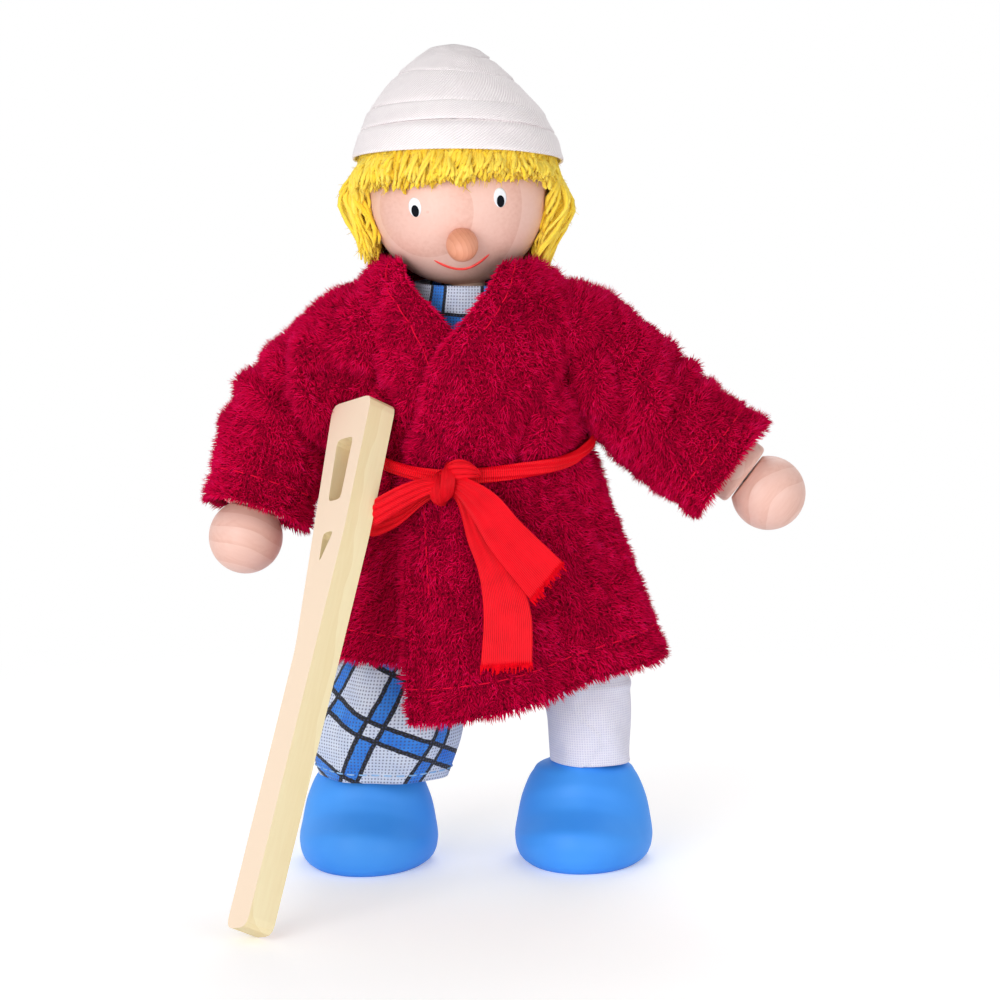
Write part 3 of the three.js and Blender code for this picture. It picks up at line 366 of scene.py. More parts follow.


# One or two patterns that choose between colours; relief has the raised pattern's place, depth and strength
def plainMaterial(name, shine, patterns, stops, share=None, relief=None):
    material, tree, shader = startMaterial(name, shine)
    made = [addPattern(tree, *pattern) for pattern in patterns]
    chosen = made[0]
    if share is not None:
        chosen = addNode(tree, "Mix", {"Factor": share}, {"A": made[0], "B": made[1]})
    colours = addNode(tree, "ValToRGB", {"stops": stops}, {"Fac": chosen})
    if relief:
        joinLook(tree, shader, colours, made[relief[0]], relief[1:])
    else:
        joinLook(tree, shader, colours)
    return material


# Turned or sawn wood: growth rings round an axis, drawn out along it as fine grain
def woodMaterial(name, stops, ringSize, origin, axes, roughness, grain=0.5):
    material, tree, shader = startMaterial(name, {"Roughness": roughness, "IOR": 1.5})
    turn = Matrix(np.array(axes).T.tolist()).to_euler()
    place = {"vector_type": "TEXTURE", "Location": toFrame(origin).tolist(), "Rotation": turn}
    local = addNode(tree, "Mapping", place, {"Vector": addNode(tree, "TexCoord", out="Object")})
    settings = {"wave_type": "RINGS", "rings_direction": "Z", "Scale": waveTurn / (ringSize * mm)}
    settings.update({"Distortion": 2.2, "Detail": 2.0, "Detail Scale": 0.6, "wave_profile": "SAW"})
    rings = addNode(tree, "TexWave", settings, {"Vector": local}, "Fac")
    longways = addNode(tree, "Mapping", {"Scale": (1, 1, 0.06)}, {"Vector": local})
    settings = {"Scale": 1 / (grain * mm), "Detail": 3.0}
    fibre = addNode(tree, "TexNoise", settings, {"Vector": longways}, "Fac")
    both = addNode(tree, "Mix", {"Factor": 0.55}, {"A": rings, "B": fibre})
    joinLook(tree, shader, addNode(tree, "ValToRGB", {"stops": stops}, {"Fac": both}), fibre, (0.04, 0.35))
    return material


# Printed pyjama cotton: open weave with painted shade in its gaps, blue bands outlined by hand in black, pale
# squares where bands cross
def plaidMaterial(name, plaid):
    material, tree, shader = startMaterial(name, {"Roughness": 0.85, "Sheen Weight": 0.15})
    cloth = addNode(tree, "UVMap", {"uv_map": "cloth"})
    turn, half = math.radians(plaid["turn"]), plaid["pitch"] / 2
    across, high = plaid["crossing"]
    shiftX = half - across * math.cos(turn) + high * math.sin(turn)
    shiftY = half - across * math.sin(turn) - high * math.cos(turn)
    place = {"Rotation": (0, 0, turn), "Location": (shiftX, shiftY, 0)}
    turned = addNode(tree, "Mapping", place, {"Vector": cloth})
    shake = addNode(tree, "TexNoise", {"Scale": 0.5, "Detail": 2.0}, {"Vector": cloth}, "Color")
    settings = {"operation": "MULTIPLY_ADD", 1: [plaid["shake"]] * 3}
    shaken = addNode(tree, "VectorMath", settings, {0: shake, 2: turned})
    parts = addNode(tree, "SeparateXYZ", None, {"Vector": shaken}).node.outputs
    bands, lines = [], []
    for axis in ("X", "Y"):
        spot = addNode(tree, "Math", {"operation": "FLOORED_MODULO", 1: plaid["pitch"]}, {0: parts[axis]})
        band, wide = (
            addNode(tree, "Math", {"operation": "COMPARE", 1: half, 2: plaid["band"] / 2 + edge}, {0: spot})
            for edge in (0, plaid["line"])
        )
        bands.append(band)
        lines.append(addNode(tree, "Math", {"operation": "SUBTRACT"}, {0: wide, 1: band}))
    crossing, anyBand, line = (
        addNode(tree, "Math", {"operation": operation}, dict(enumerate(pair)))
        for operation, pair in (("MULTIPLY", bands), ("MAXIMUM", bands), ("MAXIMUM", lines))
    )
    blue = addNode(tree, "Math", {"operation": "SUBTRACT"}, {0: anyBand, 1: crossing})
    holes = addPattern(tree, "weave", plaid["thread"])
    gapShade = addNode(tree, "Math", {"operation": "POWER", 1: 2.0}, {0: holes})
    slubs = addPattern(tree, "noise", 2.5, 2.0)
    layer, ink = (
        addNode(tree, "ValToRGB", {"stops": [(0.3, low), (0.75, high)]}, {"Fac": slubs})
        for low, high in (("#c6d2ec", "#d9e1f2"), ("#1d6fd8", "#3f92ee"))
    )
    layer = addNode(tree, "Mix", {"data_type": "RGBA"}, {0: blue, 6: layer, 7: ink}, 2)
    # the black lines are print; the dark blue-grey in the weave's gaps is painted shade
    for share, tint in ((line, "#10141c"), (gapShade, "#39406a")):
        layer = addNode(tree, "Mix", {"data_type": "RGBA", 7: colour(tint)}, {0: share, 6: layer}, 2)
    joinLook(tree, shader, layer, holes, (-0.12, 0.8))
    return material


# Places of the head, the arms and the crutch; the head's own axes lean with the neck
headMiddle = jointAt("head_turn")
headUp = unit(np.array(joints["head_turn"]["axis"], dtype=float))
headSide = unit(np.cross(back, headUp))
handMiddles = {side: middleOf(f"hand_{side}") for side, sign in bothSides}
elbows = {side: jointAt(f"elbow_{side}") for side, sign in bothSides}
foreDirections = {side: unit(handMiddles[side] - elbows[side]) for side, sign in bothSides}
crutchPoints = np.array([fromFrame(corner.co) for corner in frame["nodes"]["crutch"].data.vertices])
crutchAxes = np.linalg.svd(crutchPoints - crutchPoints.mean(axis=0))[2]  # along, across and through the board

# Terry pile, cut and brushed: painted shade, dark, at the roots between the tufts, and a painted highlight,
# light and pink, at the tips
pile = plainMaterial(
    "terry pile, brushed",
    {"Roughness": 0.9, "Sheen Weight": 0.12, "Sheen Roughness": 0.35, "Specular IOR Level": 0.05,
     "Sheen Tint": colour("#ff1f86")},
    [("value", "tone"), ("value", "reach")],
    [(0.08, "#4c001a"), (0.36, "#b00034"), (0.62, "#e20044"), (0.92, "#ff1c70")], share=0.5,
)
# The knitted ground under the pile, seen only at cut edges and inside the sleeves: its crimson darkened as
# painted shade under the tufts, and darker still at the knit's holes as painted shade
ground = plainMaterial(
    "terry ground, knitted", {"Roughness": 0.9, "Specular IOR Level": 0.05},
    [("weave", 0.8)], [(0.0, "#8a0026"), (1.0, "#4e0018")], relief=(0, 0.15, 0.6),
)
# Rayon ribbon: silky lengthwise ribs that split apart at the cut ends
ribbon = plainMaterial(
    "rayon ribbon, ribbed", {"Roughness": 0.5, "Specular IOR Level": 0.15, "Anisotropic": 0.4},
    [("ribs", 0.26), ("noise", 3.0, 2.0)], [(0.1, "#c40012"), (0.7, "#fd0820")], 0.5, (0, 0.07, 0.8),
)
# Acrylic yarn: two plies, fuzzy, each strand a little lighter or darker at random, and the inner layers of
# hair darker as painted shade under the outer ones
yarn = plainMaterial(
    "acrylic yarn, two-ply", {"Roughness": 0.85, "Sheen Weight": 0.2, "Specular IOR Level": 0.08},
    [("value", "tone"), ("noise", 0.5, 3.0)],
    [(0.0, "#eeb01a"), (0.4, "#fcd73e"), (1.0, "#ffec70")], 0.35, (1, 0.12, 0.6),
)
# Woven cottons: thread crossings or slanting lines, and soft shading between the threads
bandageCotton, castGauze, wrapCotton = (
    plainMaterial(
        name, {"Roughness": 0.88, "Sheen Weight": 0.2}, [threads, ("noise", 1.6, 3.0)],
        [(0.1, pale), (0.9, shade)], 0.3, (0, -0.08, 0.7),
    )
    for name, pale, shade, threads in (
        ("bandage cotton, twill", "#fbf5f5", "#e8dee1", ("twill", 0.4, 42)),
        ("cast gauze, fine weave", "#e9e8f5", "#c9c8e2", ("weave", 0.36)),
        ("wrap cotton, wound", "#efe6d6", "#cbbfa6", ("weave", 0.5)),
    )
)
plaid = {  # sizes in millimetres on the cloth; a crossing of bands is placed by width and height
    "pyjama cotton, printed plaid": {
        "pitch": 9.4, "band": 1.8, "line": 0.66, "turn": 22, "crossing": (28.6, 8.2), "shake": 0.35,
        "thread": 0.5,
    },
    "pyjama cotton, shirt piece": {
        "pitch": 9.4, "band": 2.2, "line": 0.6, "turn": 2, "crossing": (25.7, 24.1), "shake": 0.3,
        "thread": 0.52,
    },
}
trouserCotton, shirtCotton = (plaidMaterial(name, spec) for name, spec in plaid.items())
# Satin enamel on wood: smooth, with the faint unevenness of a sprayed coat
enamel = plainMaterial(
    "satin enamel, sprayed", {"Roughness": 0.55, "Specular IOR Level": 0.35},
    [("noise", 9.0, 2.0), ("noise", 0.9, 2.0)], [(0.3, "#3a93f3"), (0.7, "#469df8")], relief=(1, 0.02, 0.3),
)
# Annealed steel wire: dull, drawn lengthwise
wire = plainMaterial(
    "annealed wire, drawn", {"Metallic": 1.0, "Roughness": 0.4},
    [("noise", 1.5, 3.0)], [(0.3, "#8b8d90"), (0.7, "#b4b6b8")],
)
# Printed eyes and mouth with a little gloss, and dull sewing threads: one colour each, a little uneven
eyeWhite, eyeDark, mouthRed, threadRed, threadSash, threadBlue = (
    plainMaterial(
        name, {"Roughness": roughness, "Specular IOR Level": gloss},
        [("noise", 0.8, 2.0)], [(0.3, deep), (0.7, pale)],
    )
    for name, pale, deep, roughness, gloss in (
        ("eye white, printed", "#f2f4f8", "#e6e9f0", 0.4, 0.5),
        ("eye dark, printed", "#181b22", "#101318", 0.9, 0.05),
        ("mouth red, printed", "#f4453e", "#e23a34", 0.4, 0.5),
        ("sewing thread, red", "#f01440", "#d00a32", 0.9, 0.05),
        ("ribbon threads, red", "#fd0820", "#d80416", 0.9, 0.05),
        ("sewing thread, pale blue", "#a9cdf2", "#86b4e6", 0.9, 0.05),
    )
)
maple = [(0.15, "#f0d6c4"), (0.55, "#eacbb5"), (0.9, "#dcb59b")]
paleMaple = [(0.1, "#ebc3b7"), (0.55, "#e6b9ab"), (0.95, "#d9a493")]
cherry = [(0.15, "#e09a7c"), (0.55, "#dc9475"), (0.9, "#cf8465")]
lime = [(0.1, "#efe2ba"), (0.55, "#ead9ae"), (0.95, "#e5d2a2")]
headRings = headMiddle + np.array([-4.0, 0, -2.5])
headAxes = [headSide, headUp, -back]
headWood = woodMaterial("turned maple, lacquered", paleMaple, 6.4, headRings, headAxes, 0.42)
bodyWood = woodMaterial("turned maple, bare", maple, 3.0, [2, 3, 60], [[1, 0, 0], back, up], 0.6)
boardAxes = [crutchAxes[1], np.cross(crutchAxes[0], crutchAxes[1]), crutchAxes[0]]
crutchWood = woodMaterial("lime board, sanded", lime, 2.4, [-40, -20, 30], boardAxes, 0.6, 0.4)
tree = crutchWood.node_tree  # the sawn faces are pinker and paler than the planed edges
facing = addNode(tree, "TexCoord", out="Normal")
settings = {"operation": "DOT_PRODUCT", 1: crutchAxes[2].tolist()}
facing = addNode(tree, "VectorMath", settings, {0: facing}, "Value")
facing = addNode(tree, "Math", {"operation": "ABSOLUTE"}, {0: facing})
facing = addNode(tree, "Math", {"operation": "POWER", 1: 4.0}, {0: facing})
shader = tree.nodes["Principled BSDF"]
wood = shader.inputs["Base Color"].links[0].from_socket
sawn = {"data_type": "RGBA", 7: colour("#f2dbc2")}
joinLook(tree, shader, addNode(tree, "Mix", sawn, {0: facing, 6: wood}, 2))
print("materials made")

# Head: a turned ball with printed eyes and mouth and a peg nose
head = {
    "radius": 12.8,
    "settle": 0.7,  # how far the ball sits down on its dowel
    "eyeTurn": 27.8,  # degrees each side of the nose
    "eyeRise": -2.3,
    "eyeWidth": 0.98,  # half sizes
    "eyeHeight": 1.38,
    "eyeLift": 0.05,  # the paint's thickness, with the pupil over the white
    "pupilWidth": 0.58,
    "pupilHeight": 0.84,
    "pupilDrop": 0.52,
    "pupilLift": 0.09,
    "mouthTurn": -2.1,
    "mouthSpan": 23.6,
    "mouthLow": -51.4,
    "mouthCurl": 11.2,
    "mouthLine": 0.21,
    "noseRadius": 2.25,
    "noseReach": 4.3,
    "noseDrop": 27.4,
    "noseDroop": 20,
    "noseLength": 1.3,
    "nosePeg": [[1.25, -0.4], [1.2, -3.4]],  # radius and height of the peg in the head
}
ballMiddle = headMiddle - headUp * head["settle"]


def onHead(turn, rise, radius):
    turn, rise = np.radians(turn), np.radians(rise)
    level = np.sin(turn)[..., None] * headSide - np.cos(turn)[..., None] * back
    return ballMiddle + radius * (np.cos(rise)[..., None] * level + np.sin(rise)[..., None] * headUp)


def addDisc(name, turn, rise, halfWidth, halfHeight, lift, material):
    share, angle = np.meshgrid(np.linspace(1, 0.02, 7), fullTurn(40), indexing="ij")
    side = np.degrees(halfWidth * share * np.cos(angle) / head["radius"]) / math.cos(math.radians(rise))
    high = np.degrees(halfHeight * share * np.sin(angle) / head["radius"])
    outer, inner = (onHead(turn + side, rise + high, head["radius"] + off) for off in (lift, -0.05))
    belong([addLoft(name, np.concatenate([outer[::-1], inner]), material)], "head")


ball = addTurned("headBall", arcProfile(head["radius"], 0, 90, -90, 49), ballMiddle, headUp, headWood, 96)
belong([ball], "head", ["head_ball"])
pupilRise = head["eyeRise"] - math.degrees(head["pupilDrop"] / head["radius"])
for side, sign in bothSides:
    for part, rise, material in (("eye", head["eyeRise"], eyeWhite), ("pupil", pupilRise, eyeDark)):
        name = f"eyeWhite_{side}" if part == "eye" else f"eyePupil_{side}"
        sizes = [head[part + measure] for measure in ("Width", "Height", "Lift")]
        addDisc(name, sign * head["eyeTurn"], rise, *sizes, material)
sweep = np.linspace(-1, 1, 41)
mouthTurns = head["mouthTurn"] + head["mouthSpan"] * sweep
mouthRises = head["mouthLow"] + head["mouthCurl"] * sweep**2
mouthPath = onHead(mouthTurns, mouthRises, head["radius"])[None]
mouthThick = head["mouthLine"] * np.sqrt(np.clip(1 - np.abs(sweep) ** 8, 0.02, 1))[None]
mouth = addStrands("mouthLine", mouthPath, unit(mouthPath - ballMiddle), mouthThick, mouthRed, 10)
belong([mouth], "head")
droop = math.radians(head["noseDroop"])
noseAxis = -back * math.cos(droop) - headUp * math.sin(droop)
noseSeat = onHead(np.array(0.0), np.array(-float(head["noseDrop"])), head["radius"])
noseProfile = arcProfile(head["noseRadius"], 0, 90, -62, 26)
noseProfile[:, 1] = (noseProfile[:, 1] - head["noseRadius"]) * head["noseLength"] + head["noseReach"]
noseProfile = np.concatenate([noseProfile, head["nosePeg"]])
noseSide = np.cross(noseAxis, up)
noseAxes = [noseAxis, unit(noseSide), np.cross(noseAxis, noseSide)]
noseWood = woodMaterial("turned cherry, oiled", cherry, 0.6, noseSeat + [4.5, 0, 0], noseAxes, 0.45)
nose = addTurned("nosePeg", noseProfile, noseSeat, noseAxis, noseWood, 48)
belong([nose], "head", ["nose_peg"])
print("head made")

# Bandage: one strip wound round the head in laps, each lap's lower edge over the lap before it
bandage = {
    "brim": 4.1,  # above the head's middle
    "brimRadius": 14.9,
    "top": 20.6,
    "lapEdges": [4.1, 8.0, 10.7, 16.0, 18.6, 20.6],  # heights of the laps' lower edges, and the top
    "outline": [
        (0, 1), (0.24, 0.91), (0.4, 0.82), (0.6, 0.65), (0.8, 0.43), (0.9, 0.3), (0.96, 0.19), (1, 0.005),
    ],
    "lapStep": 0.24,
    "thick": 0.4,
    "lean": 1.0,  # degrees to the doll's left
    "tip": 9.0,  # degrees back from the brow
    "crownShift": -0.9,  # the crown sits off the middle
    "tuck": 0.9,  # how far each lap runs up under the next
    "flat": (90, 7),
}
lean, tip = math.radians(bandage["lean"]), math.radians(bandage["tip"])
wearUp = unit(np.array([math.sin(lean), math.sin(tip), math.cos(lean)]))
wearSide = unit(np.cross(back, wearUp))
wearBack = np.cross(wearUp, wearSide)


def onWear(turn, radius, height):
    turn = np.radians(turn)
    level = np.sin(turn)[..., None] * wearSide - np.cos(turn)[..., None] * wearBack
    return headMiddle + np.asarray(radius)[..., None] * level + np.asarray(height)[..., None] * wearUp


def domeRadius(height):
    share = np.clip((height - bandage["brim"]) / (bandage["top"] - bandage["brim"]), 0, 1)
    return bandage["brimRadius"] * smoothLine(share, bandage["outline"])


lapEdges = bandage["lapEdges"]
for k, (low, high) in enumerate(zip(lapEdges[:-1], lapEdges[1:])):
    last = k == len(lapEdges) - 2
    share, turn = np.meshgrid(np.linspace(0, 1, 24), np.linspace(0, 360, 145)[:-1], indexing="ij")
    slant = 0.4 * np.sin(np.radians(turn + 75 * k)) + 0.15 * np.sin(np.radians(2 * turn + 40 * k))
    height = mix(high + (0 if last else bandage["tuck"]), low, share)
    height = height + slant * (1 if k else 0.3) * (ease(share, 0.0, 0.6) if last else 1)
    height = np.minimum(height, bandage["top"])
    proud = mix(-0.5, bandage["lapStep"], ease(share, 0.0, 0.3))
    proud = proud * (1 - 0.7 * ease(height, 17.5, bandage["top"]))
    proud = proud - 0.16 * ease(share, 0.9, 1.0)  # the edge is folded under
    creases = 0.09 * wander(np.stack([turn / 7, 9 * share, 7 * k + 0 * turn], -1), 5.0, 20 + k)
    radius = np.maximum(domeRadius(height - 0.2) + proud + creases, 0.03)
    crown = bandage["crownShift"] * ease(height, bandage["brim"], bandage["top"])
    outer = onWear(turn, radius, height) + wearSide * crown[..., None]
    piece = addCloth(f"bandageLap_{k + 1}", outer, bandage["thick"], bandageCotton, bandage["flat"], True)
    belong([piece], "head", ["head_bandage"])
print("bandage made")

# Hair: yarn strands sewn under the bandage, a short fringe and longer sides and back
hair = {
    "locks": 430,  # cut ends of yarn, each untwisted into its plies
    "plies": 3,
    "steps": 16,
    "radius": 0.29,
    "lockRadius": 0.4,
    "root": 6.2,  # above the head's middle, under the bandage
    "rootRadius": 13.4,
    "fringeEnd": -0.9,
    "sideEnd": -10.6,
    "fringeTurn": 73,  # half the face opening, degrees
    "sideRadius": 17.4,
    "fringeRadius": 15.3,
    "tuckIn": 4.0,  # how far the side ends follow the head inwards
    "fuzz": 5200,
    "fuzzLength": 1.3,
    "fuzzRadius": 0.055,
    "layers": 2.3,  # depth of the hair
    "seed": 11,
}
rng = np.random.default_rng(hair["seed"])
count = hair["locks"]
turns = np.linspace(-180, 180, count, endpoint=False) + rng.uniform(-1.6, 1.6, count)
layer = rng.uniform(0, 1, count)
sideShare = ease(np.abs(turns), hair["fringeTurn"] - 2, hair["fringeTurn"] + 9)
steps = np.linspace(0, 1, hair["steps"])
ends = mix(hair["fringeEnd"] + 1.5 * ease(turns, -5, 40), hair["sideEnd"], sideShare) + layer * 0.3
ends = ends + rng.normal(0, mix(0.45, 1.0, sideShare))
full = mix(hair["fringeRadius"], hair["sideRadius"], sideShare) - hair["layers"] * (1 - layer)
height = mix(hair["root"], ends[:, None], steps)
under = bandage["brim"] + 0.2  # it swells only below the brim
out = bandage["brim"] - mix(3.0, 7.5, sideShare)[:, None]
radius = hair["rootRadius"] + (full - hair["rootRadius"])[:, None] * ease(height, under, out)
radius = radius - mix(0.2, hair["tuckIn"], sideShare)[:, None] * ease(steps, 0.4, 1.0)
wave = np.sin(steps * (3 + 2 * rng.random((count, 1))) * 2 + rng.uniform(0, 6.3, (count, 1)))
sway = turns[:, None] + steps * rng.normal(0, 4.2, (count, 1)) + 0.9 * wave * steps
paths = onWear(sway, radius + 0.25 * wave, height)
middle = headMiddle + height[..., None] * wearUp
outward = unit(paths - middle)
sideways = unit(np.cross(outward, up))
plies = []
for k in range(hair["plies"]):  # the plies wind round the lock and fray apart at its cut end
    winding = steps * rng.uniform(9, 13, (count, 1)) * mix(0.5, 1, sideShare)[:, None]
    turn = 2 * math.pi * k / hair["plies"] + winding
    spread = hair["lockRadius"] * (0.65 + 0.75 * ease(steps, 0.55, 1.0)) * rng.uniform(0.6, 1.2, (count, 1))
    ply = paths + (np.cos(turn) * spread)[..., None] * outward + (np.sin(turn) * spread)[..., None] * sideways
    shorten = 1 - rng.uniform(0, 0.14, (count, 1, 1))
    plies.append(ply[:, :1] + (ply - ply[:, :1]) * shorten)
paths = np.concatenate(plies)
outward = np.concatenate([outward] * hair["plies"])
away = np.linalg.norm(paths - headMiddle, axis=-1, keepdims=True)
paths = headMiddle + (paths - headMiddle) * np.maximum(1, (head["radius"] + 0.25) / away)
total = len(paths)
thick = hair["radius"] * rng.uniform(0.75, 1.2, (total, 1)) * np.where(steps > 0.97, 0.4, 1.0)
tone = 0.35 * rng.random(total)
# outer strands lighter and inner strands darker: painted shade within the hair, on top of each lock's random
# tone
tone = np.clip(tone + np.tile(0.25 * rng.random(count) + 0.4 * layer, hair["plies"]), 0, 1)
locks = addStrands("yarnHair", paths, outward, thick, yarn, 5, 0.2, 3.0, tone)
pick, spot = rng.integers(0, total, hair["fuzz"]), rng.integers(2, hair["steps"], hair["fuzz"])
stray = unit(outward[pick, spot] * 0.7 - up * 0.8 + rng.normal(0, 0.6, (hair["fuzz"], 3)))
reach = rng.uniform(0.5, 1, (hair["fuzz"], 1, 1)) * np.linspace(0, hair["fuzzLength"], 3)[:, None]
fibres = paths[pick, spot][:, None] + stray[:, None] * reach
fine = hair["fuzzRadius"] * np.array([1, 0.8, 0.3]) + np.zeros((hair["fuzz"], 1))
across = np.roll(stray, 1, axis=1)[:, None] + 0 * fibres
fuzz = addStrands("yarnFuzz", fibres, across, fine, yarn, 3, tone=tone[pick])
belong([locks, fuzz], "head", ["hair_wig"])
print("hair made")

# Robe: sizes shared by its pieces
robe = {
    "cloth": 0.9,
    "chest": 16.0,
    "waist": 15.9,
    "collar": 11.2,
    "collarTop": 87.4,
    "collarShift": -1.6,
    "depth": 12.2,
    "beltSide": 63.5,
    "beltDip": 6.0,
    "layer": 1.5,
    "overEdge": -33,  # degrees at the sash
    "overHem": -22,
    "underEdge": 385,
    "skirtLength": 31.0,
    "skirtBend": ([0, -2, 54], [0, -18, 24]),  # from the waist, which stays, to the hem at the thighs
    "flares": (12.0, 4.8, 4.6, 4.5),  # left, right, front, back
    "hemSide": 31.5,
    "hemFlap": 23.6,
    "foldDepth": 1.5,
    "folds": (
        (62, 1, 16), (36, -0.9, 13), (100, -0.8, 16), (140, 1, 18), (180, -0.8, 16), (218, 1, 18),
        (258, -0.7, 14), (292, 0.8, 14), (8, 0.5, 10), (-14, -0.4, 9),
    ),
    "pileLength": 1.15,
    "pileWidth": 0.12,
    "pileDensity": 15.0,  # tufts to a square millimetre
    "pileSink": 0.2,
    "pileRow": 0.95,  # pitch of the knitted rows
    "lapelParting": (0, (0.035, 0.965), 0.5, 0.006),  # along or down the cloth, shares, depth and width
    "hemParting": (1, (0.865,), 0.55, 0.014),
    "cuffParting": (1, (0.84,), 0.55, 0.016),
    "lapelSeams": (("left", 8, 20, 1.8), ("right", 227, 34, 3.2)),  # column, rows and length of a stitch
    "seamGap": 0.5,
    "bodiceFolds": [
        ([(8.8, 67.0), (7.2, 62.0), (6.6, 59.0)], -1.3, 1.3),
        ([(12.0, 66.5), (10.8, 62.0)], 0.9, 2.0),
        ([(13.4, 70.5), (15.2, 74.4), (18.8, 76.2)], -1.7, 1.2),
        ([(-7.5, 68.0), (-9.5, 62.0)], -0.9, 1.2),
        ([(-15.5, 72.0), (-12.0, 69.5)], -1.4, 1.4),
        ([(-10.0, 83.0), (-3.6, 73.5)], 0.5, 1.6),
        ([(3.5, 83.5), (-2.6, 72.5)], 0.5, 1.6),
    ],
    "skirtFolds": [
        ([(10.0, 59.5), (17.3, 52.5), (20.5, 44.0)], -1.2, 1.7),
        ([(13.5, 60.5), (19.5, 55.5)], 0.7, 1.6),
        ([(6.0, 52.0), (10.5, 41.0), (14.0, 30.0)], -0.7, 2.2),
        ([(-9.5, 52.0), (-8.5, 38.0)], -0.5, 1.3),
    ],
    "sleeveFolds": {
        "right": [
            ([(-25.9, 77.0), (-26.4, 68.5), (-23.2, 62.0), (-18.5, 58.5)], -1.5, 1.3),
            ([(-24.0, 75.0), (-23.6, 68.0), (-19.5, 63.5)], 1.3, 1.9),
            ([(-22.4, 71.6), (-19.0, 72.6), (-15.8, 70.8)], -1.9, 1.4),
            ([(-31.0, 69.0), (-29.0, 60.0)], 0.6, 2.2),
        ],
        "left": [
            ([(14.0, 71.0), (15.6, 74.6), (18.8, 76.0), (20.9, 72.4), (21.4, 66.0)], -1.7, 1.2),
            ([(17.6, 68.5), (18.6, 72.5)], 1.2, 1.7),
            ([(24.0, 75.5), (26.5, 68.0)], 0.8, 2.0),
            ([(29.5, 73.0), (28.0, 66.0)], -0.7, 1.5),
        ],
    },
}
shoulderHeight = jointAt("arm_swing_left")[2]
slope = robe["collarTop"] - shoulderHeight
bodiceFoot = robe["beltSide"] - robe["beltDip"] - 1


def beltHeight(degrees):
    return robe["beltSide"] - robe["beltDip"] * ((1 + waves(degrees)) / 2) ** 2


def layerAt(degrees):
    return robe["layer"] * (1 - ease(degrees, 30, 110))


def bodicePoint(degrees, height):
    width = smoothLine(height, [
        (bodiceFoot, robe["waist"]),
        (robe["beltSide"], robe["waist"]),
        (shoulderHeight - 4, robe["chest"]),
        (shoulderHeight + 0.3 * slope, robe["chest"] - 0.4),
        (shoulderHeight + 0.65 * slope, mix(robe["chest"], robe["collar"], 0.4)),
        (shoulderHeight + 0.88 * slope, mix(robe["chest"], robe["collar"], 0.8)),
        (robe["collarTop"], robe["collar"]),
    ])
    depth = smoothLine(height, [
        (bodiceFoot, robe["depth"]),
        (shoulderHeight - 4, robe["depth"] + 0.4),
        (shoulderHeight + 0.3 * slope, robe["depth"] - 0.2),
        (robe["collarTop"], robe["collar"] - 0.5),
    ])
    puff = 0.9 * hump(height, 68, 5) * hump(degrees, 35, 22)
    puff = puff + 0.6 * hump(height, 67, 5) * hump(degrees, 330, 16)
    tuck = 0.7 * hump(height, 64, 5) * waves(degrees * 9) * ease(height, 72, 62)
    lift = layerAt(degrees) + puff + 0.4 * tuck
    x, y = around(degrees, width + lift, width + lift, depth + lift, depth + lift)
    shift = robe["collarShift"] * ease(height, shoulderHeight, robe["collarTop"])
    return np.stack([x + shift, y, height + 0 * x], -1)


# The over-flap's edge crosses the front from the collar to the belt, and the under-flap's goes behind it
def overEdgeAt(height):
    stations = [(56, robe["overEdge"]), (66, -24), (76, -12), (82, 6), (robe["collarTop"] + 1, 33)]
    return smoothLine(height, stations)


def underEdgeAt(height):
    stations = [(56, robe["underEdge"]), (70, 364), (76.5, 354), (82, 339), (85.5, 324)]
    return smoothLine(height, [*stations, (robe["collarTop"] + 1, 312)])


def bodiceGrid(rows, cols):
    grid = []
    for v in np.linspace(0, 1, rows):
        share = np.linspace(0, 1, cols)
        height = np.full(cols, mix(robe["collarTop"], robe["beltSide"], v))
        for _ in range(3):
            degrees = mix(overEdgeAt(height), underEdgeAt(height), share)
            height = mix(robe["collarTop"], beltHeight(degrees) - 0.5, v)
        grid.append(bodicePoint(degrees, height))
    return np.array(grid)


def skirtPoint(degrees, down):
    top = beltHeight(degrees) + 0.4
    flap = 1 - ease(degrees, robe["overHem"], 75)
    height = mix(top, mix(robe["hemSide"], robe["hemFlap"], flap), down)
    share = (top - height) / robe["skirtLength"]
    fold = 0
    for angle, depth, width in robe["folds"]:
        fold = fold + depth * hump((degrees - angle + 540) % 360 - 180, 0, width)
    gathers = 0.35 * waves(degrees * 17) * hump(down, 0.08, 0.14)
    offset = layerAt(degrees) + robe["foldDepth"] * share * fold + gathers
    widths = [robe["waist"], robe["waist"], robe["depth"], robe["depth"]]
    x, y = around(degrees, *(width + flare * share + offset for width, flare in zip(widths, robe["flares"])))
    return np.stack([x, y, height], -1)


def skirtGrid(fromDegrees, toDegrees, rows, cols):
    u, down = np.meshgrid(np.linspace(0, 1, cols), np.linspace(0, 1, rows))
    slant = 0
    if fromDegrees == robe["overEdge"]:  # the over-flap's edge
        slant = robe["overHem"] - robe["overEdge"]
    return skirtPoint(mix(fromDegrees + slant * down, toDegrees, u), down)


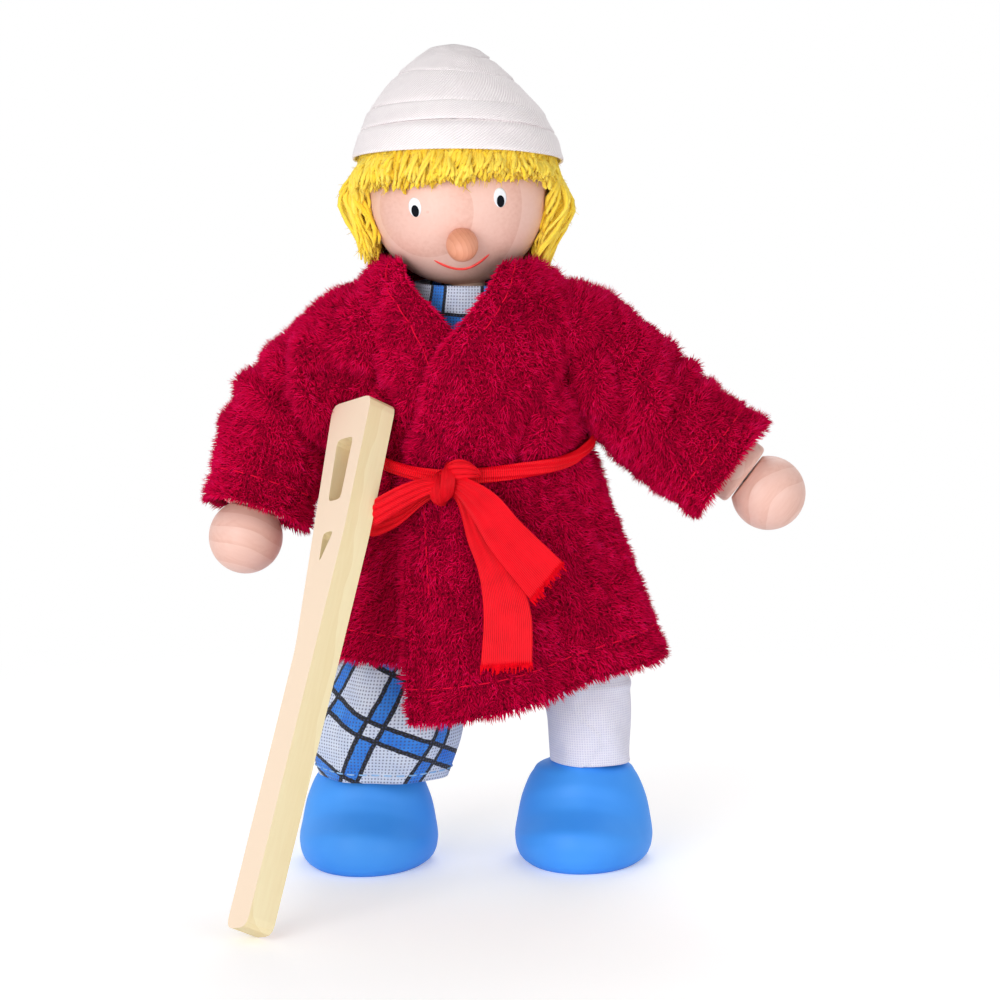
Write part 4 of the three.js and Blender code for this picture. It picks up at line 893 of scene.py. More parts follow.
# Pile: spikes rooted all over a grid, leaning in clumps, parted along stitching and longer along cut edges
def addPile(name, grid, seed, closed=False, parting=None, edges=(), droop=0.5):
    rng = np.random.default_rng(seed)
    if closed:
        grid = np.concatenate([grid, grid[:, :1]], axis=1)
    normals = gridNormals(grid, False)
    downs = unit(np.gradient(grid, axis=0))
    sides = unit(np.gradient(grid, axis=1))
    rows, cols = grid.shape[:2]
    cross = np.cross(grid[1:, :-1] - grid[:-1, 1:], grid[1:, 1:] - grid[:-1, :-1])
    area = np.linalg.norm(cross, axis=-1).ravel() / 2
    tufts = np.floor(area * robe["pileDensity"] + rng.random(area.shape)).astype(int)
    cell = np.repeat(np.arange(len(area)), tufts)
    r, c = cell // (cols - 1), cell % (cols - 1)
    s, t = rng.random((2, len(cell), 1))
    edgeLean = np.zeros((len(cell), 3))
    for edge in edges:  # roots on a cut edge point out past it
        level, first = edge in ("top", "bottom"), edge in ("top", "left")
        line = 0 if first else -1
        span = np.linalg.norm(np.diff(grid[line] if level else grid[:, line], axis=0), axis=-1)
        many = np.floor(span * robe["pileDensity"] * 0.9 + rng.random(span.shape)).astype(int)
        pick = np.repeat(np.arange(len(span)), many)
        along, depth = rng.random((len(pick), 1)), np.abs(rng.normal(0, 0.12, (len(pick), 1)))
        inset = depth if first else 1 - depth
        border = np.full(len(pick), 0 if first else (rows if level else cols) - 2)
        newR, newC, newS, newT = (border, pick, along, inset) if level else (pick, border, inset, along)
        outward = (downs if level else sides)[newR, newC] * (-1 if first else 1)
        r, c = np.concatenate([r, newR]), np.concatenate([c, newC])
        s, t = np.concatenate([s, newS]), np.concatenate([t, np.clip(newT, 0, 1)])
        edgeLean = np.concatenate([edgeLean, outward * 1.5])

    def spread(values):
        low = values[r, c] * (1 - s) + values[r, c + 1] * s
        return low * (1 - t) + (values[r + 1, c] * (1 - s) + values[r + 1, c + 1] * s) * t

    roots = spread(grid)
    normal, down, side = (unit(spread(directions)) for directions in (normals, downs, sides))
    total = len(roots)
    clump = [0.3 * wander(roots, size, seed + k)[:, None] for size, k in ((5.5, 1), (4.6, 2))]
    fine = [0.25 * wander(roots, size, seed + k)[:, None] for size, k in ((1.4, 3), (1.2, 4))]
    lumps = wander(roots, 2.4, seed + 5)
    lean = down * (droop + clump[0] + fine[0]) + side * (clump[1] + fine[1])
    direction = unit(normal + lean + rng.normal(0, 0.3, (total, 3)) + edgeLean)
    length = robe["pileLength"] * rng.uniform(0.6, 1.2, (total, 1)) * (1 + 0.3 * lumps[:, None])
    if parting:
        axis, places, depth, width = parting
        share = ((c[:, None] + s) / (cols - 1), (r[:, None] + t) / (rows - 1))[axis]
        length = length * (1 - depth * sum(hump(share, place, width) for place in places))
    start = roots - normal * robe["pileSink"]
    first = unit(np.cross(direction, rng.normal(size=(total, 3))))
    second = np.cross(direction, first)
    turn = fullTurn(3)
    ring = first[:, None] * np.cos(turn)[:, None] + second[:, None] * np.sin(turn)[:, None]
    feet = start[:, None] + ring * robe["pileWidth"]
    tips = start + direction * (length + robe["pileSink"])
    points = np.concatenate([feet, tips[:, None]], axis=1).reshape(-1, 3)
    foot = (np.arange(total) * 4)[:, None]
    faces = np.concatenate([foot + [0, 1, 3], foot + [1, 2, 3], foot + [2, 0, 3]], axis=1).reshape(-1, 3)
    long = np.linalg.norm(np.diff(grid, axis=0), axis=-1).sum(axis=0).mean()
    knit = np.cos(2 * math.pi * (r + t[:, 0]) / (rows - 1) * round(long / robe["pileRow"]))
    # the raised lumps, where the tufts are longer, are coloured lighter and the hollows between them darker:
    # painted light and shade; the slow wandering and the knit rows are the cloth's own tone
    tone = 0.47 + 0.14 * wander(roots, 8.0, seed + 6) + 0.16 * lumps + 0.08 * knit
    tone = np.repeat(np.clip(tone + rng.normal(0, 0.17, total), 0, 1), 4)
    # roots low and tips high on the pile's colours: painted shade at the roots, painted highlight at the tips
    reach = np.tile([0.15, 0.15, 0.15, 1.0], total)
    lanes = int(math.ceil(math.sqrt(total)))  # each tuft has a cell of its own on the map for baking
    cells = np.stack([np.arange(total) % lanes, np.arange(total) // lanes], -1)[:, None] / lanes
    corner = cells + np.array([[0.1, 0.1], [0.9, 0.1], [0.5, 0.9]]) / lanes
    maps = {"OFBake": np.repeat(corner, 3, axis=0).reshape(-1, 3, 2)}
    return addPiece(name, points, [faces], pile, maps, {"tone": tone, "reach": reach})


bodice = pressFolds(bodiceGrid(60, 240), False, robe["bodiceFolds"])
bodiceNormals = gridNormals(bodice, False)
bodiceCloth = addCloth("robeBodice", bodice, robe["cloth"], ground, (104, 28))
edges = ("top", "left", "right")
trims = [addPile("robeBodicePile", bodice, 31, False, robe["lapelParting"], edges, 0.35)]
for side, column, rows, long in robe["lapelSeams"]:
    seam = bodice[:rows, column], bodiceNormals[:rows, column]
    trims.append(addStitches(f"lapelStitch_{side}", *seam, threadRed, long, robe["seamGap"]))
belong([bodiceCloth, *trims], "torso", ["robe_bodice"])
print("bodice made")

skirtParts = {  # from and to in degrees
    "left": {"from": robe["overEdge"], "to": 180, "edges": ("left", "bottom"), "seed": 51},
    "right": {"from": 180, "to": robe["underEdge"], "edges": ("bottom",), "seed": 61},
}
for part, spec in skirtParts.items():
    grid = pressFolds(skirtGrid(spec["from"], spec["to"], 60, 150), False, robe["skirtFolds"])
    normals = gridNormals(grid, False)
    hemRow = int(robe["hemParting"][1][0] * (len(grid) - 1))
    cloth = addCloth(f"robeSkirt_{part}", grid, robe["cloth"], ground, (74, 36))
    pileName = f"robeSkirtPile_{part}"
    trims = [addPile(pileName, grid, spec["seed"], False, robe["hemParting"], spec["edges"], 0.45)]
    trims.append(addStitches(f"hemStitch_{part}", grid[hemRow], normals[hemRow], threadRed))
    if part == "left":
        trims.append(addStitches("flapStitch", grid[4:30, 8], normals[4:30, 8], threadRed))
    bodies = ("torso", f"thigh_{part}")
    belong([cloth, *trims], bodies, ["robe_skirt"], robe["skirtBend"])
print("skirt made")

# Sleeves: a wide tube along each arm, with the folds that the bent arm pushes up
sleeve = {
    "radius": 8.2,
    "bend": 7.0,
    "cuffSetback": {"right": 5.0, "left": 7.2},  # from the middle of the hand
    "split": 0.34,  # share of its length above the lower piece
    "cuff": {"right": 7.2, "left": 8.0},
    "drop": 0.8,
    "armhole": (1.7, 6.2),  # from the shoulder, where the cloth passes from the bodice to the arm
    "elbow": (0.4, 0.7),  # shares of the bend, before and after the elbow
    "seeds": {"right": 71, "left": 91},
}


def sleeveGrid(side, sign, rows, cols):
    shoulder, elbow, hand = jointAt(f"arm_raise_{side}"), elbows[side], handMiddles[side]
    upper, fore = unit(elbow - shoulder), foreDirections[side]
    end = hand - fore * sleeve["cuffSetback"][side]
    before, after = elbow - upper * sleeve["bend"], elbow + fore * sleeve["bend"]
    t = np.linspace(0, 1, 60)[:, None]
    bend = (1 - t) ** 2 * before + 2 * t * (1 - t) * elbow + t**2 * after
    root = shoulder - np.array([sign * 1.5, 0, 0])
    path = np.concatenate([mix(root, before, t[:-1]), bend[:-1], mix(after, end, t)])
    reach = reachAlong(path)
    length = reach[-1]
    s = np.linspace(0, length, rows)
    centre = onEachAxis(path, lambda k: np.interp(s, reach, k))
    along = unit(np.gradient(centre, axis=0))
    outward = np.array([sign, 0, 0]) + 0 * along
    along = unit(mix(outward, along, ease(s, 0, sleeve["radius"])[:, None]))
    across = unit(back - (along @ back)[:, None] * along)
    beside = np.cross(along, across)
    turn = fullTurn(cols)
    share = (s / length)[:, None]
    elbowShare = (np.linalg.norm(before - root) + sleeve["bend"]) / length
    radius = mix(sleeve["radius"], sleeve["cuff"][side], ease(share, elbowShare, 1))
    radius = radius - 1.3 * hump(share, 0.0, 0.06) + 0.5 * hump(share, 0.16, 0.08)
    inside = np.clip(np.cos(turn - math.pi / 2 * sign), 0, 1)  # creases on the inner side of the bend
    creases = np.cos((share - elbowShare) * 46) * hump(share, elbowShare, 0.16)
    radius = radius + 0.5 * creases * (0.35 + inside)
    radius = radius + 0.3 * np.sin(3 * turn + 9 * share) * ease(share, 0.1, 0.4)
    radius = radius + 0.35 * ease(share, 0.93, 1.0)
    ring = np.cos(turn)[None, :, None] * across[:, None] + np.sin(turn)[None, :, None] * beside[:, None]
    grid = centre[:, None] + radius[..., None] * ring - up * sleeve["drop"]
    if (gridNormals(grid, True) * (grid - centre[:, None])).sum() < 0:
        grid = grid[:, ::-1]
    grid = pressFolds(grid, True, robe["sleeveFolds"][side])
    return grid, elbow, upper, fore, shoulder


for side, sign in bothSides:
    grid, elbow, upper, fore, shoulder = sleeveGrid(side, sign, 90, 110)
    seed = sleeve["seeds"][side]
    cut = int(sleeve["split"] * len(grid))
    cuffRow = cut + int(robe["cuffParting"][1][0] * (len(grid) - 1 - cut))
    wide = 2 * math.pi * sleeve["radius"]
    away = unit(upper + np.array([sign, 0, 0]))  # so that the armhole stays on the bodice all round
    armhole = [shoulder + away * far for far in sleeve["armhole"]]
    before, after = (sleeve["bend"] * share for share in sleeve["elbow"])
    parts = {  # grid, length on the map, length as a sheet, pile, bodies and ends of the bend
        "Upper": (grid[: cut + 1], 12, 0.0125, (seed, True, None, (), 0.3),
                  ("shoulder", "upper_arm"), armhole),
        "Lower": (grid[cut:], 22, 0.023, (seed + 10, True, robe["cuffParting"], ("bottom",), 0.3),
                  ("upper_arm", "forearm"), [elbow - upper * before, elbow + fore * after]),
    }
    for part, (cloth, mapLong, long, pileSpec, bodies, ends) in parts.items():
        piece = addCloth(f"robeSleeve{part}_{side}", cloth, robe["cloth"], ground, (wide, mapLong), True)
        trims = [addPile(f"robeSleeve{part}Pile_{side}", cloth, *pileSpec)]
        if part == "Lower":
            seam = grid[cuffRow], gridNormals(grid, True)[cuffRow]
            trims.append(addStitches(f"cuffStitch_{side}", *seam, threadRed))
        bodies = [f"{body}_{side}" for body in bodies]
        belong([piece, *trims], bodies, [f"robe_sleeve_{part.lower()}_{side}"], ends)
print("sleeves made")

# Sash: one ribbon round the waist, tied in a half bow at the front
sash = {
    "band": 1.15,  # half height of the bunched band
    "thick": 0.22,
    "width": 6.6,
    "grid": (48, 41),
    "fraySeed": 5,
    "knot": np.array([-3.7, -16.2, 57.2]),
    "parts": {  # by name: places from the knot, the ribbon's widthways way, half widths, bow and pleats
        "sashTailLong": (
            [(0.6, -0.9, 0.0), (2.9, -1.4, -1.6), (5.2, -2.0, -6.8), (7.6, -3.0, -11.6), (9.0, -3.7, -17.6),
             (8.9, -4.3, -24.8)],
            [(0.7, 0, 0.7), (0.8, 0, 0.6), (0.93, 0, 0.38), (0.98, 0, 0.2), (1, 0, 0.05), (1, 0, 0.05)],
            [0.7, 1.1, 1.9, 2.6, 3.3, 3.6], 0.2, 0.22),
        "sashTailShort": (
            [(0.4, -1.5, 0.4), (2.7, -2.3, -0.2), (5.9, -3.2, -2.9), (8.9, -3.8, -6.8), (14.5, -4.6, -12.9)],
            [(0.25, 0, 0.97), (0.35, 0, 0.94), (0.55, 0, 0.83), (0.7, 0, 0.72), (0.63, 0, 0.77)],
            [0.8, 1.5, 2.5, 2.9, 3.5], 0.3, 0.22),
        "sashLoopFront": (
            [(-0.4, -1.4, 0.2), (-2.6, -2.6, -0.1), (-5.6, -3.5, -1.3), (-8.8, -3.2, -3.2),
             (-10.6, -1.9, -4.4)],
            [(0.1, 0, 0.99), (0.14, 0, 0.98), (0.25, 0, 0.96), (0.3, 0.1, 0.95), (0.3, 0.2, 0.92)],
            [0.7, 1.4, 2.0, 2.2, 2.0], 0.4, 0.25),
        "sashLoopBack": (
            [(-0.4, -0.4, -0.5), (-2.6, -0.2, -1.9), (-5.6, -0.2, -4.2), (-8.8, -0.9, -5.3),
             (-10.6, -1.8, -4.7)],
            [(0.2, 0, 0.97), (0.3, 0.1, 0.94), (0.3, 0.3, 0.9), (0.25, 0.3, 0.92), (0.3, 0.2, 0.92)],
            [0.7, 1.1, 1.6, 1.9, 2.0], -0.3, 0.2),
        "sashKnotLeft": (
            [(-0.2, -0.2, 1.5), (-0.7, -1.9, 1.0), (-0.8, -2.6, -0.6), (-0.5, -2.0, -2.1), (0.2, -0.2, -2.5)],
            [(1, 0, 0.1)] * 5, [0.5, 0.85, 1.0, 0.85, 0.4], 0.5, 0.12),
        "sashKnotRight": (
            [(0.9, -0.2, 2.8), (0.8, -2.3, 2.0), (0.75, -3.0, 0.3), (0.5, -2.3, -1.4), (0.2, -0.3, -2.1)],
            [(1, 0, 0.15)] * 5, [0.5, 0.95, 1.05, 0.9, 0.4], 0.5, 0.12),
        "sashKnotBunch": (
            [(4.6, -0.2, 1.6), (3.7, -1.7, 2.2), (2.3, -2.2, 2.4), (1.1, -1.5, 2.1), (0.4, -0.3, 1.6)],
            [(0.1, 0, 1)] * 5, [0.5, 1.15, 1.4, 1.1, 0.5], 0.5, 0.25),
    },
}


def sashBand(rows, cols):
    degrees, across = np.meshgrid(np.linspace(-180, 180, cols, endpoint=False), np.linspace(1, -1, rows))
    bunch = sash["band"] * (1 - 0.25 * hump(degrees, 12, 20) + 0.2 * np.sin(np.radians(degrees * 4 + 40)))
    lap = layerAt(degrees) * ease(degrees, robe["overEdge"] - 30, robe["overEdge"] - 3)
    pleats = 0.16 * np.cos(across * 8 + np.radians(degrees) * 9)
    lift = 1.5 + lap + 0.6 * (1 - across**2) + pleats
    height = beltHeight(degrees) + 0.7 + across * bunch + 0.25 * np.sin(np.radians(degrees * 5))
    wide, deep = robe["waist"] + lift, robe["depth"] + lift
    return np.stack([*around(degrees, wide, wide, deep, deep), height], -1)


def ribbonGrid(path, widthway, halfWidths, bow, pleat):
    path, widthway = np.array(path, dtype=float) + sash["knot"], np.array(widthway, dtype=float)
    rows, cols = sash["grid"]
    stations = np.linspace(0, 1, len(path))
    t = np.linspace(0, 1, rows)
    centre, wide = (onEachAxis(v, lambda k: smoothLine(t, list(zip(stations, k)))) for v in (path, widthway))
    wide = unit(wide)
    half = smoothLine(t, list(zip(stations, halfWidths)))[:, None]
    across = np.linspace(-1, 1, cols)
    normal = unit(np.cross(np.gradient(centre, axis=0), wide))
    normal = normal * np.where(normal[:, 1:2] > 0, -1, 1)  # towards the front
    gathered = (0.25 + 0.75 * np.exp(-4 * t))[:, None]
    relief = bow * (1 - across**2) + pleat * gathered * np.cos(across * 11 + 3 * t[:, None])
    flat = centre[:, None] + wide[:, None] * (half * across)[..., None]
    return flat + normal[:, None] * relief[..., None]


sashPieces = [addCloth("sashBand", sashBand(15, 200), sash["thick"], ribbon, (100, sash["width"]), True)]
ribbons = {name: ribbonGrid(*spec) for name, spec in sash["parts"].items()}
for name, grid in ribbons.items():
    sashPieces.append(addCloth(name, grid, sash["thick"], ribbon, (sash["width"], 26)))
rng = np.random.default_rng(sash["fraySeed"])
for name in ("sashTailLong", "sashTailShort"):  # threads that have come loose from the cut end
    grid = ribbons[name]
    count = grid.shape[1]
    lengths = rng.uniform(0.2, 1.3, (count, 1, 1)) * np.linspace(-0.3, 1, 4)[:, None]
    stray = unit(unit(grid[-1] - grid[-4]) + rng.normal(0, 0.12, (count, 3)))
    threads = grid[-1][:, None] + stray[:, None] * lengths
    thin = np.full(threads.shape[:2], 0.08)
    sashPieces.append(addStrands(f"{name}Fray", threads, -back + 0 * threads, thin, threadSash, 4))
core = arcProfile(1.5, 0, 85, -85, 21) * [1, 1.3]
sashPieces.append(addTurned("sashKnotCore", core, sash["knot"] - back * 0.9, up, ribbon, 32))
for piece in sashPieces:
    belong([piece], "torso", ["belt_sash"])
print("sash made")

# Pyjamas: shirt in the V neck, trousers on both legs, and the gauze cast
clothes = {
    "cotton": 0.5,
    "shirtFoot": 58.6,
    "shirtTop": 84.2,
    "neckRadius": 7.6,
    "seatTop": 58.0,
    "ease": 1.1,  # between the body and the trousers
    "hem": 12.9,
    "kneeRadius": 8.9,
    "kneeBend": 7.0,  # above and below the right knee, where the trouser leg bends
    "bellRadius": 11.0,
    "hemRadius": 9.4,
    "hemStitch": (1.1, 0.7, 0.12, 0.1),  # length, gap, radius and lift
    "leftEnd": 33.5,
    "leftRadius": 6.7,
    "innerTop": 38.5,  # the trouser leg goes on inside the cast, so the bent knee stays covered
    "innerFoot": 28.2,
    "innerRadius": 5.3,
    "innerBend": (4.0, 3.0),
    "castTop": 30.5,
    "castTopRadius": 6.4,
    "castFootRadius": 5.8,
    "castThick": 0.9,
}
torsoFoot, torsoTop = (corner[2] for corner in boxOf("torso_block"))
torsoRadius = (bodyHigh[0] - bodyLow[0]) / mm / 2
legTop = torsoFoot - 0.3
legTopRadius = (torsoRadius + clothes["ease"]) / 2
castFoot = boxOf("shoe_left")[1][2] + 0.1


def roundTube(fromHeight, toHeight, radiusAt, centreAt, rows, cols):
    heights = np.linspace(fromHeight, toHeight, rows)
    degrees, height = np.meshgrid(np.linspace(180, 540, cols, endpoint=False), heights)
    radius, (x0, y0) = radiusAt(degrees, height), centreAt(height)
    x, y = around(degrees, radius, radius, radius, radius)
    return np.stack([x + x0, y + y0, height], -1)


def addGarment(name, grid, material, flat, held, restsOn, slot, nodes, body, ends=None, trims=()):
    thick = clothes["castThick"] if material == castGauze else clothes["cotton"]
    piece = addCloth(name, grid, thick, material, flat, True)
    belong([piece, *trims], body, nodes, ends)
    flat = tuple(size * mm for size in flat)


def legLine(side):
    hip, knee = jointAt(f"hip_{side}"), jointAt(f"knee_{side}")
    low, high = boxOf(f"shin_wire_{side}")
    middle = (low + high) / 2
    ankle = knee + (middle - knee) * (knee[2] - low[2]) / (knee[2] - middle[2])
    return hip, knee, ankle


hips, knees, ankles = ({side: legLine(side)[k] for side, sign in bothSides} for k in range(3))


def lineAt(low, high, height):
    return mix(low[:, None, None], high[:, None, None], (height - low[2]) / (high[2] - low[2]))


def bodyCentre(height):
    return 0, 0


def shirtRadius(degrees, height):
    above = np.clip(height - (torsoTop - torsoRadius), 0, None)
    dome = np.sqrt(np.clip(torsoRadius**2 - above**2, 0, None))
    return np.maximum(dome, clothes["neckRadius"] - 0.6 * ease(height, torsoTop - 2, torsoTop + 2)) + 1.0


def seatRadius(degrees, height):
    return torsoRadius + clothes["ease"] + 0 * height


def rightCentre(height):
    below = lineAt(ankles["right"], knees["right"], height)
    share = ease(height, knees["right"][2], legTop)
    return mix(below[0], -legTopRadius, share), mix(below[1], 0, share)


def rightRadius(degrees, height):
    plain = smoothLine(height, [
        (clothes["hem"] - 0.1, clothes["hemRadius"] - 0.2),
        (clothes["hem"] + 1.2, clothes["hemRadius"] + 0.2),
        (clothes["hem"] + 6.5, clothes["bellRadius"]),
        (knees["right"][2], clothes["kneeRadius"]),
        (legTop, legTopRadius),
    ])
    folds = 0.35 * waves(3 * degrees + 14 * height) + 0.25 * waves(7 * degrees - 9 * height)
    return plain + folds * ease(height, 40, 26)


def leftCentre(height):
    hip, knee = hips["left"], knees["left"]
    endX = mix(hip[0], knee[0], (hip[2] - clothes["leftEnd"]) / (hip[2] - knee[2]))
    return mix(legTopRadius, endX, ease(height, legTop, clothes["leftEnd"])), 0 * height


def leftRadius(degrees, height):
    return mix(legTopRadius, clothes["leftRadius"], ease(height, legTop, clothes["leftEnd"]))


def castCentre(height):
    return lineAt(ankles["left"], knees["left"], height)[:2]


def castRadius(degrees, height):
    plain = mix(clothes["castFootRadius"], clothes["castTopRadius"], ease(height, castFoot, 27))
    dents = 0.14 * waves(5 * degrees + 30 * height) + 0.3 * hump(height, 26.2, 0.7)
    return plain + dents + 0.25 * ease((degrees + 15 * np.sin(height * 0.6)) % 360, 300, 330)


def innerCentre(height):
    above = lineAt(knees["left"], hips["left"], height)[:2]
    return np.where(height > knees["left"][2], above, castCentre(height))


def innerRadius(degrees, height):
    return clothes["innerRadius"] + 0 * height


grid = roundTube(clothes["shirtTop"], clothes["shirtFoot"], shirtRadius, bodyCentre, 40, 96)
worn = ("pyjama_cotton", ["pyjama_shirt"], "torso")
addGarment("pyjamaShirt", grid, shirtCotton, (63, 30), "stretched", "torso_block", *worn)
grid = roundTube(clothes["seatTop"], torsoFoot, seatRadius, bodyCentre, 20, 96)
worn = ("pyjama_cotton", ["trouser_seat"], "torso")
addGarment("trouserSeat", grid, trouserCotton, (66, 14), "stretched", "torso_block", *worn)
grid = roundTube(legTop, clothes["hem"], rightRadius, rightCentre, 70, 120)
hemRow = grid[66], gridNormals(grid, True)[66]
hemSeam = addStitches("trouserHemStitch", *hemRow, threadBlue, *clothes["hemStitch"])
bend = [knees["right"] + up * far for far in (clothes["kneeBend"], -clothes["kneeBend"])]
nodes = ["trouser_thigh_right", "trouser_shin_right"]
worn = ("pyjama_cotton", nodes, ("thigh_right", "shin_right"), bend, [hemSeam])
addGarment("trouserLegRight", grid, trouserCotton, (61, 31), "hung", "thigh_wrap_right", *worn)
grid = roundTube(legTop, clothes["leftEnd"], leftRadius, leftCentre, 24, 72)
bend = [[6, 0, legTop], [8, 0, clothes["leftEnd"]]]
worn = ("pyjama_cotton", ["trouser_thigh_left"], ("torso", "thigh_left"), bend)
addGarment("trouserLegLeft", grid, trouserCotton, (40, 12), "hung", "thigh_wrap_left", *worn)
grid = roundTube(clothes["innerTop"], clothes["innerFoot"], innerRadius, innerCentre, 24, 72)
above, below = clothes["innerBend"]
bend = [knees["left"] + up * above, knees["left"] - up * below]
worn = ("pyjama_cotton", ["trouser_thigh_left"], ("thigh_left", "shin_left"), bend)
addGarment("trouserKneeLeft", grid, trouserCotton, (33, 10.3), "hung", "shin_wrap_left", *worn)
grid = roundTube(clothes["castTop"], castFoot, castRadius, castCentre, 60, 110)
worn = ("cast_gauze", ["leg_cast_left"], "shin_left")
addGarment("legCast", grid, castGauze, (38, 16), "gathered", "shin_wrap_left", *worn)
print("pyjamas and cast made")

# Hands and wrist collars: turned balls on short collars
hand = {
    "radius": 5.3,
    "reach": 20.5,  # elbow to the middle of the ball
    "flat": 3.7,
    "collar": 4.75,
    "collarWidth": 2.4,
    "collarEdge": 0.6,
}
for side, sign in bothSides:
    fore = foreDirections[side]
    across = unit(np.cross(fore, back))
    grainFrom, grainAxes = handMiddles[side] + np.array([2.0, 0, 9.0]), [fore, np.cross(across, fore), across]
    handWood = woodMaterial(f"turned maple, {side} hand", paleMaple, 2.2, grainFrom, grainAxes, 0.45)
    flatTurn = math.degrees(math.acos(hand["flat"] / hand["radius"]))
    profile = arcProfile(hand["radius"], 0, 90, -flatTurn, 40)
    handBall = addTurned(f"handBall_{side}", profile, elbows[side] + fore * hand["reach"], fore, handWood, 72)
    edge, half = hand["collarEdge"], hand["collarWidth"] / 2
    rim = arcProfile(edge, half - edge, 90, 0, 7) + [hand["collar"] - edge, 0]
    profile = np.concatenate([[[0.6, half]], rim, rim[::-1] * [1, -1], [[0.6, -half]]])
    collar = addTurned(f"wristCollar_{side}", profile, middleOf(f"wrist_collar_{side}"), fore, handWood, 64)
    for piece, node in ((handBall, f"hand_{side}"), (collar, f"wrist_collar_{side}")):
        belong([piece], f"forearm_{side}", [node])

# Shoes: domed clogs with a low round toe
shoe = {  # half sizes by share of the height; the front draws in above the round toe
    "width": [
        (0, 8.5), (0.03, 9.1), (0.1, 9.7), (0.2, 10.0), (0.42, 9.7), (0.7, 8.7), (0.87, 7.5), (0.95, 6.5),
        (1, 4.6),
    ],
    "front": [
        (0, 12.0), (0.03, 12.6), (0.1, 13.2), (0.2, 13.5), (0.34, 13.4), (0.45, 12.6), (0.52, 11.0),
        (0.6, 9.2), (0.7, 8.1), (0.85, 7.2), (0.95, 6.2), (1.3, 3.0),
    ],
    "behind": [(0, 7.2), (0.03, 7.7), (0.14, 8.4), (0.4, 8.6), (0.8, 7.0), (0.95, 6.0), (1, 4.5)],
    "toeArch": 0.2,  # the toe's crest runs down to the sides
    "toeOut": {"right": -8, "left": -7},  # degrees
}
for side, sign in bothSides:
    low, high = boxOf(f"shoe_{side}")
    turnOut = math.radians(shoe["toeOut"][side])
    share = np.concatenate([np.linspace(1, 0.06, 60), [0.03, 0.01, 0.0]])[:, None]
    degrees = np.linspace(0, 360, 96, endpoint=False)[None]
    width, behind = (smoothLine(share, shoe[reach]) for reach in ("width", "behind"))
    arch = shoe["toeArch"] * np.sin(np.radians(degrees)) ** 2 * ease(share, 0.1, 0.4)
    x, y = around(degrees, width, width, smoothLine(share + arch, shoe["front"]), behind)
    x, y = x * math.cos(turnOut) - y * math.sin(turnOut), x * math.sin(turnOut) + y * math.cos(turnOut)
    x, y = (v + (low + high)[k] / 2 - (v.max() + v.min()) / 2 for k, v in enumerate((x, y)))
    piece = addLoft(f"shoe_{side}Clog", np.stack([x, y, share * high[2] + 0 * x], -1), enamel)
    belong([piece], f"shin_{side}", [f"shoe_{side}"])
print("hands and shoes made")

# Limb wraps: cotton thread wound along each wire
wrap = {"radius": 2.8, "pitch": 0.9, "ridge": 0.16}
for part in ("upper_arm", "forearm", "thigh", "shin"):
    for side, sign in bothSides:
        node = f"{part}_wrap_{side}"
        low, high = boxOf(node)
        axis = unit({
            "upper_arm": elbows[side] - jointAt(f"arm_raise_{side}"),
            "forearm": foreDirections[side],
            "thigh": knees[side] - hips[side],
            "shin": ankles[side] - knees[side],
        }[part])
        k = int(np.argmax(np.abs(axis)))
        roundEnds = 2 * wrap["radius"] * math.sqrt(max(1 - axis[k] ** 2, 0))
        half = ((high - low)[k] - roundEnds) / abs(axis[k]) / 2
        along, turn = np.linspace(half, -half, 60), fullTurn(28)
        across = unit(np.cross(axis, back))
        winding = 1 - np.cos(2 * math.pi * along[:, None] / wrap["pitch"] + turn)
        radius = wrap["radius"] - wrap["ridge"] * winding / 2
        ring = np.cos(turn)[:, None] * across + np.sin(turn)[:, None] * np.cross(axis, across)
        rings = middleOf(node) + radius[..., None] * ring + along[:, None, None] * axis
        piece = addLoft(f"{part}Wrap_{side}", rings, wrapCotton)
        belong([piece], f"{part}_{side}", [node])

# Finishes of the solids that stay
for name, node in frame["nodes"].items():
    finish = None
    if "_wire" in name:
        finish = wire
    elif name in ("torso_block", "neck_dowel"):
        finish = bodyWood
    elif name == "crutch":
        finish = crutchWood
        soften = node.modifiers.new("rounded edges", "BEVEL")
        soften.width = 0.45 * mm
        soften.segments = 3
    if finish:
        node.data.materials.clear()
        node.data.materials.append(finish)
print("wraps and plain finishes made")

# Stage: pale floor, soft light and the camera
stage = {
    "distance": 500.0,
    "rise": 8.0,  # degrees above the level
    "lens": 125.1,
    "sensor": 36.0,
    "target": (4.3, 0.0, 52.76),
    "shadowReach": 90.0,  # the paper takes shadow this far round the doll, then fades to plain white
    "fadeReach": 190.0,
    "floorGlow": 0.24,  # lifts the lit paper to white and leaves the shadow
    "floorHalf": 4.0,  # metres
    "world": 0.55,
    "lampAim": (0, 0, 55),
    "lamps": {  # place, size and watts
        "key light": ((-240, -430, 140), 320, 1.4),
        "fill light": ((300, -390, 20), 300, 0.8),
        "back light": ((60, 380, 380), 300, 0.8),
    },
}
white = colour("#ffffff")


# One where the camera, a reflection or glass looks
def addSeen(tree):
    rays = addNode(tree, "LightPath").node.outputs
    seen = rays["Is Camera Ray"]
    for ray in ("Is Glossy Ray", "Is Transmission Ray"):
        seen = addNode(tree, "Math", {"operation": "MAXIMUM"}, {0: seen, 1: rays[ray]})
    return seen


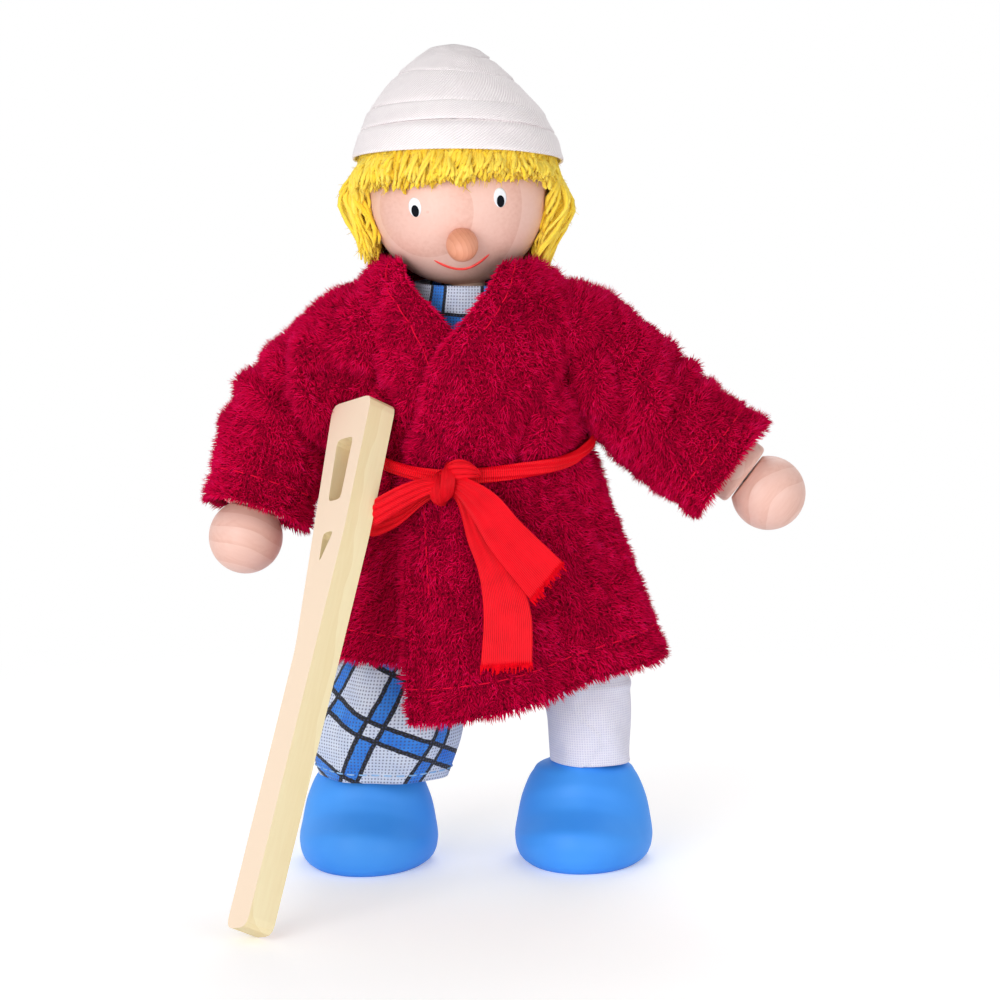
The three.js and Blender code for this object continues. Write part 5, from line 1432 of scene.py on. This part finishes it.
settings = {"Roughness": 0.9, "Base Color": colour("#fafafa"), "Emission Color": white}
floorMaterial, tree, shader = startMaterial("studio floor, pale paper", settings)
glow = addNode(tree, "Math", {"operation": "MULTIPLY", 1: stage["floorGlow"]}, {0: addSeen(tree)})
tree.links.new(glow, shader.inputs["Emission Strength"])
spot = addNode(tree, "TexCoord", out="Object")
reach = addNode(tree, "VectorMath", {"operation": "LENGTH"}, {0: spot}, "Value")
settings = {"From Min": stage["shadowReach"] * mm, "From Max": stage["fadeReach"] * mm}
settings["interpolation_type"] = "SMOOTHSTEP"
away = addNode(tree, "MapRange", settings, {"Value": reach})
plain = addNode(tree, "Math", {"operation": "MULTIPLY"}, {0: away, 1: addSeen(tree)})
paper = addNode(tree, "Emission", {"Color": white, "Strength": 1.0})
both = addNode(tree, "MixShader", None, {0: plain, 1: shader.outputs[0], 2: paper})
tree.links.new(both, tree.nodes["Material Output"].inputs["Surface"])
mesh = bpy.data.meshes.new("floor")
far = stage["floorHalf"]
mesh.from_pydata([(-far, -far, 0), (far, -far, 0), (far, far, 0), (-far, far, 0)], [], [(0, 1, 2, 3)])
mesh.materials.append(floorMaterial)
floor = bpy.data.objects.new("floor", mesh)
bpy.context.scene.collection.objects.link(floor)

world = bpy.data.worlds.new("studio")
bpy.context.scene.world = world
world.use_nodes = True
tree = world.node_tree
background = tree.nodes["Background"]
background.inputs["Color"].default_value = white
background.inputs["Strength"].default_value = stage["world"]
paper = addNode(tree, "Background", {"Color": white, "Strength": 1.0})
both = addNode(tree, "MixShader", None, {0: addSeen(tree), 1: background.outputs[0], 2: paper})
tree.links.new(both, tree.nodes["World Output"].inputs["Surface"])

for name, (place, size, power) in stage["lamps"].items():
    lamp = bpy.data.lights.new(name, "AREA")
    lamp.size = size * mm
    lamp.energy = power
    light = bpy.data.objects.new(name, lamp)
    light.location = toFrame(place)
    aim = Vector(toFrame(stage["lampAim"])) - light.location
    light.rotation_euler = aim.to_track_quat("-Z", "Y").to_euler()
    bpy.context.scene.collection.objects.link(light)

rise = math.radians(stage["rise"])
cameraData = bpy.data.cameras.new("camera")
cameraData.lens = stage["lens"]
cameraData.sensor_width = stage["sensor"]
camera = bpy.data.objects.new("camera", cameraData)
towards = np.array([0, -math.cos(rise), math.sin(rise)])
camera.location = toFrame(np.array(stage["target"]) + stage["distance"] * towards)
camera.rotation_euler = (math.pi / 2 - rise, 0, 0)
bpy.context.scene.collection.objects.link(camera)
bpy.context.scene.camera = camera
bpy.context.scene.view_settings.view_transform = "Standard"
print("stage set")
